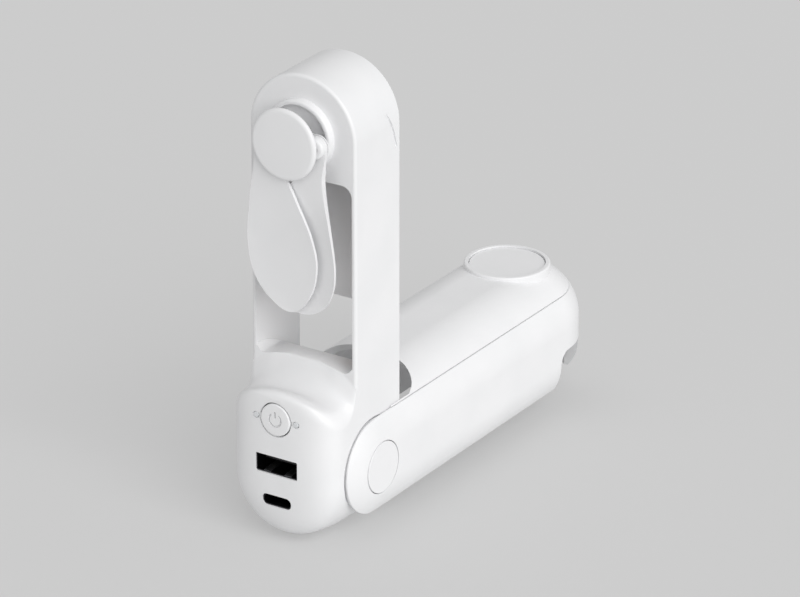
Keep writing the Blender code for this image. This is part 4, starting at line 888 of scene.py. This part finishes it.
class FAN_OT_blades(bpy.types.Operator):
    """Model the two hanging blades"""

    bl_idname = "fan.blades"
    bl_label = "Blades"

    def execute(self, context):
        turns = [math.radians(a) for a in range(10, 91, 8)]
        eye = [(-BLADE_EYE * math.cos(a), BLADE_EYE * math.sin(a), BLADE_EYE * math.sin(a)) for a in turns]
        across = [j / 10 - 1 for j in range(21)]
        for name, side, lean, back, sink, thick, shape in (
                ("front", -PIN_SIDE, -11.0, 13.9, 0.35, 0.3, FRONT_BLADE),
                ("rear", PIN_SIDE, 8.2, 12.5, 1.1, 1.2, REAR_BLADE)):
            line = eye + smooth_line([(BLADE_LONG * s, BLADE_HALF * left, BLADE_HALF * right)
                                      for s, left, right in shape], 64)
            rings = []
            for along, left, right in line:
                # The dish grows with the blade's width, and the stiff root thins out along it
                share = along / BLADE_LONG
                grown = max(0.0, min(1.0, (share - 0.22) / 0.33))
                dish = sink * grown * grown * (3 - 2 * grown) * (left + right) / 2 / BLADE_HALF
                root = max(0.0, min(1.0, (along - 4) / 3)) * (1 - min(max(share - 0.1, 0) / 0.55, 1)) ** 1.3
                cup = [((left if t < 0 else right) * t, -back + dish * (1 - t * t)) for t in across]
                rings.append([(x, y + thick * root, -along) for x, y in cup]
                             + [(x, y - BLADE_THICK, -along) for x, y in reversed(cup)])
            blade = drawn_out(f"fan_blade_{name}", rings)
            soften(blade, context.scene.fan_look.blade_edge * MM, 50)
            if name == "rear":
                fuse(blade, coin("knuckle", 2.95, "Y", -back - 0.4, -14.88, 0.7, steps=64))
            cut(blade, coin("eye", PIN + FIT, "Y", -15.2, -back + 2, steps=48))
            place = Matrix.Translation(HINGE + Vector((side, 0, HUB)))
            place = place @ Matrix.Rotation(math.radians(lean), 4, "Y")
            settle(blade, f"{name}_blade", FINISHES["fan"], [f"blade_{name}"], place)
        return {"FINISHED"}


class FAN_OT_hub(bpy.types.Operator):
    """Model the hub's round cap"""

    bl_idname = "fan.hub"
    bl_label = "Hub cap"

    def execute(self, context):
        profile = [(0, -15), (8.9, -15), (9.25, -15.08), (9.55, -15.3), (9.72, -15.6), (9.8, -15.95)]
        profile += [(8.7 + 1.1 * math.cos(math.radians(a)), -15.95 - 0.85 * math.sin(math.radians(a)))
                    for a in (15, 30, 45, 60, 75, 90)]
        cap = turned("fan_hub_cap", profile + [(6, -16.88), (3, -16.93), (0, -16.95)], "Y", (0, 0, HUB), 128)
        for sign in (1, -1):
            cut(cap, coin("socket", PIN + FIT, "Y", -14.7, -15.9, 0, (sign * PIN_SIDE, 0, HUB), 48))
        settle(cap, "rotor", FINISHES["fan"], ["hub_cap"])
        return {"FINISHED"}


class FAN_OT_studio(bpy.types.Operator):
    """Lay the floor, light it softly and set the camera at the picture's angle"""

    bl_idname = "fan.studio"
    bl_label = "Studio"

    def execute(self, context):
        scene, studio = context.scene, context.scene.fan_studio
        bpy.ops.mesh.primitive_plane_add(size=12, location=(0, 0, -0.0002))
        floor = context.object
        floor.name = floor.data.name = "studio_floor"
        bpy.ops.object.transform_apply(location=True)
        # Matt painted board: even and pale. What is seen of it is part an even grey, so its shadow is soft
        finish, tree, shader = new_finish("matt_painted_board", tuple(studio.floor_colour), Roughness=0.9)
        shader.inputs["Specular IOR Level"].default_value = 0.0
        glow = node(tree, "ShaderNodeEmission", {"Color": linear("CBCBCB"), "Strength": 1.0})
        path = node(tree, "ShaderNodeLightPath")
        seen = path.outputs["Is Camera Ray"]
        for ray in ("Is Glossy Ray", "Is Transmission Ray"):
            either = node(tree, "ShaderNodeMath", {"operation": "MAXIMUM"})
            tree.links.new(seen, either.inputs[0])
            tree.links.new(path.outputs[ray], either.inputs[1])
            seen = either.outputs[0]
        share = node(tree, "ShaderNodeMath", {"operation": "MULTIPLY"})
        share.inputs[1].default_value = 0.55
        tree.links.new(seen, share.inputs[0])
        blend = node(tree, "ShaderNodeMixShader")
        tree.links.new(share.outputs[0], blend.inputs[0])
        tree.links.new(shader.outputs["BSDF"], blend.inputs[1])
        tree.links.new(glow.outputs["Emission"], blend.inputs[2])
        tree.links.new(blend.outputs["Shader"], tree.nodes["Material Output"].inputs["Surface"])
        floor.data.materials.append(finish)

        world = bpy.data.worlds.new("studio_air")
        world.use_nodes = True
        back = world.node_tree.nodes["Background"]
        back.inputs["Color"].default_value = (1, 1, 1, 1)
        back.inputs["Strength"].default_value = studio.sky_strength
        scene.world = world

        bpy.ops.object.light_add(type="SUN", location=KEY_WAY)
        lamp = context.object
        lamp.name = "studio_key"
        lamp.rotation_euler = Vector(KEY_WAY).to_track_quat("Z", "Y").to_euler()
        lamp.data.energy, lamp.data.angle = studio.key_strength, math.radians(KEY_SPREAD)

        bpy.ops.object.camera_add(location=CAMERA_PLACE)
        camera = context.object
        aim = Vector(CAMERA_AIM) - camera.location
        camera.rotation_euler = aim.to_track_quat("-Z", "Y").to_euler()
        camera.data.lens, camera.data.sensor_width = studio.lens, 36
        camera.data.clip_start, camera.data.clip_end = 0.01, 50
        scene.camera = camera
        scene.view_settings.view_transform = "Standard"
        return {"FINISHED"}


STEPS = (FAN_OT_finishes, FAN_OT_side_frame, FAN_OT_ridge_cover, FAN_OT_round_inlays, FAN_OT_arm,
         FAN_OT_back_plates, FAN_OT_button, FAN_OT_contacts, FAN_OT_blades, FAN_OT_hub, FAN_OT_studio)


class FAN_PT_steps(bpy.types.Panel):
    """Lists the sizes, the colours and the steps in the order in which they run"""

    bl_idname = "FAN_PT_steps"
    bl_label = "Power bank fan"
    bl_space_type = "VIEW_3D"
    bl_region_type = "UI"
    bl_category = "Fan"

    def draw(self, context):
        for group in (context.scene.fan_look, context.scene.fan_studio):
            box = self.layout.box()
            for name in group.__annotations__:
                box.prop(group, name)
        for step in STEPS:
            self.layout.operator(step.bl_idname)


def register():
    for kind in (Look, Studio, *STEPS, FAN_PT_steps):
        bpy.utils.register_class(kind)
    bpy.types.Scene.fan_look = bpy.props.PointerProperty(type=Look)
    bpy.types.Scene.fan_studio = bpy.props.PointerProperty(type=Studio)


def unregister():
    del bpy.types.Scene.fan_studio, bpy.types.Scene.fan_look
    for kind in (FAN_PT_steps, *reversed(STEPS), Studio, Look):
        bpy.utils.unregister_class(kind)


def main():
    register()
    for step in STEPS:
        group, name = step.bl_idname.split(".")
        getattr(getattr(bpy.ops, group), name)()


if __name__ == "__main__":
    main()
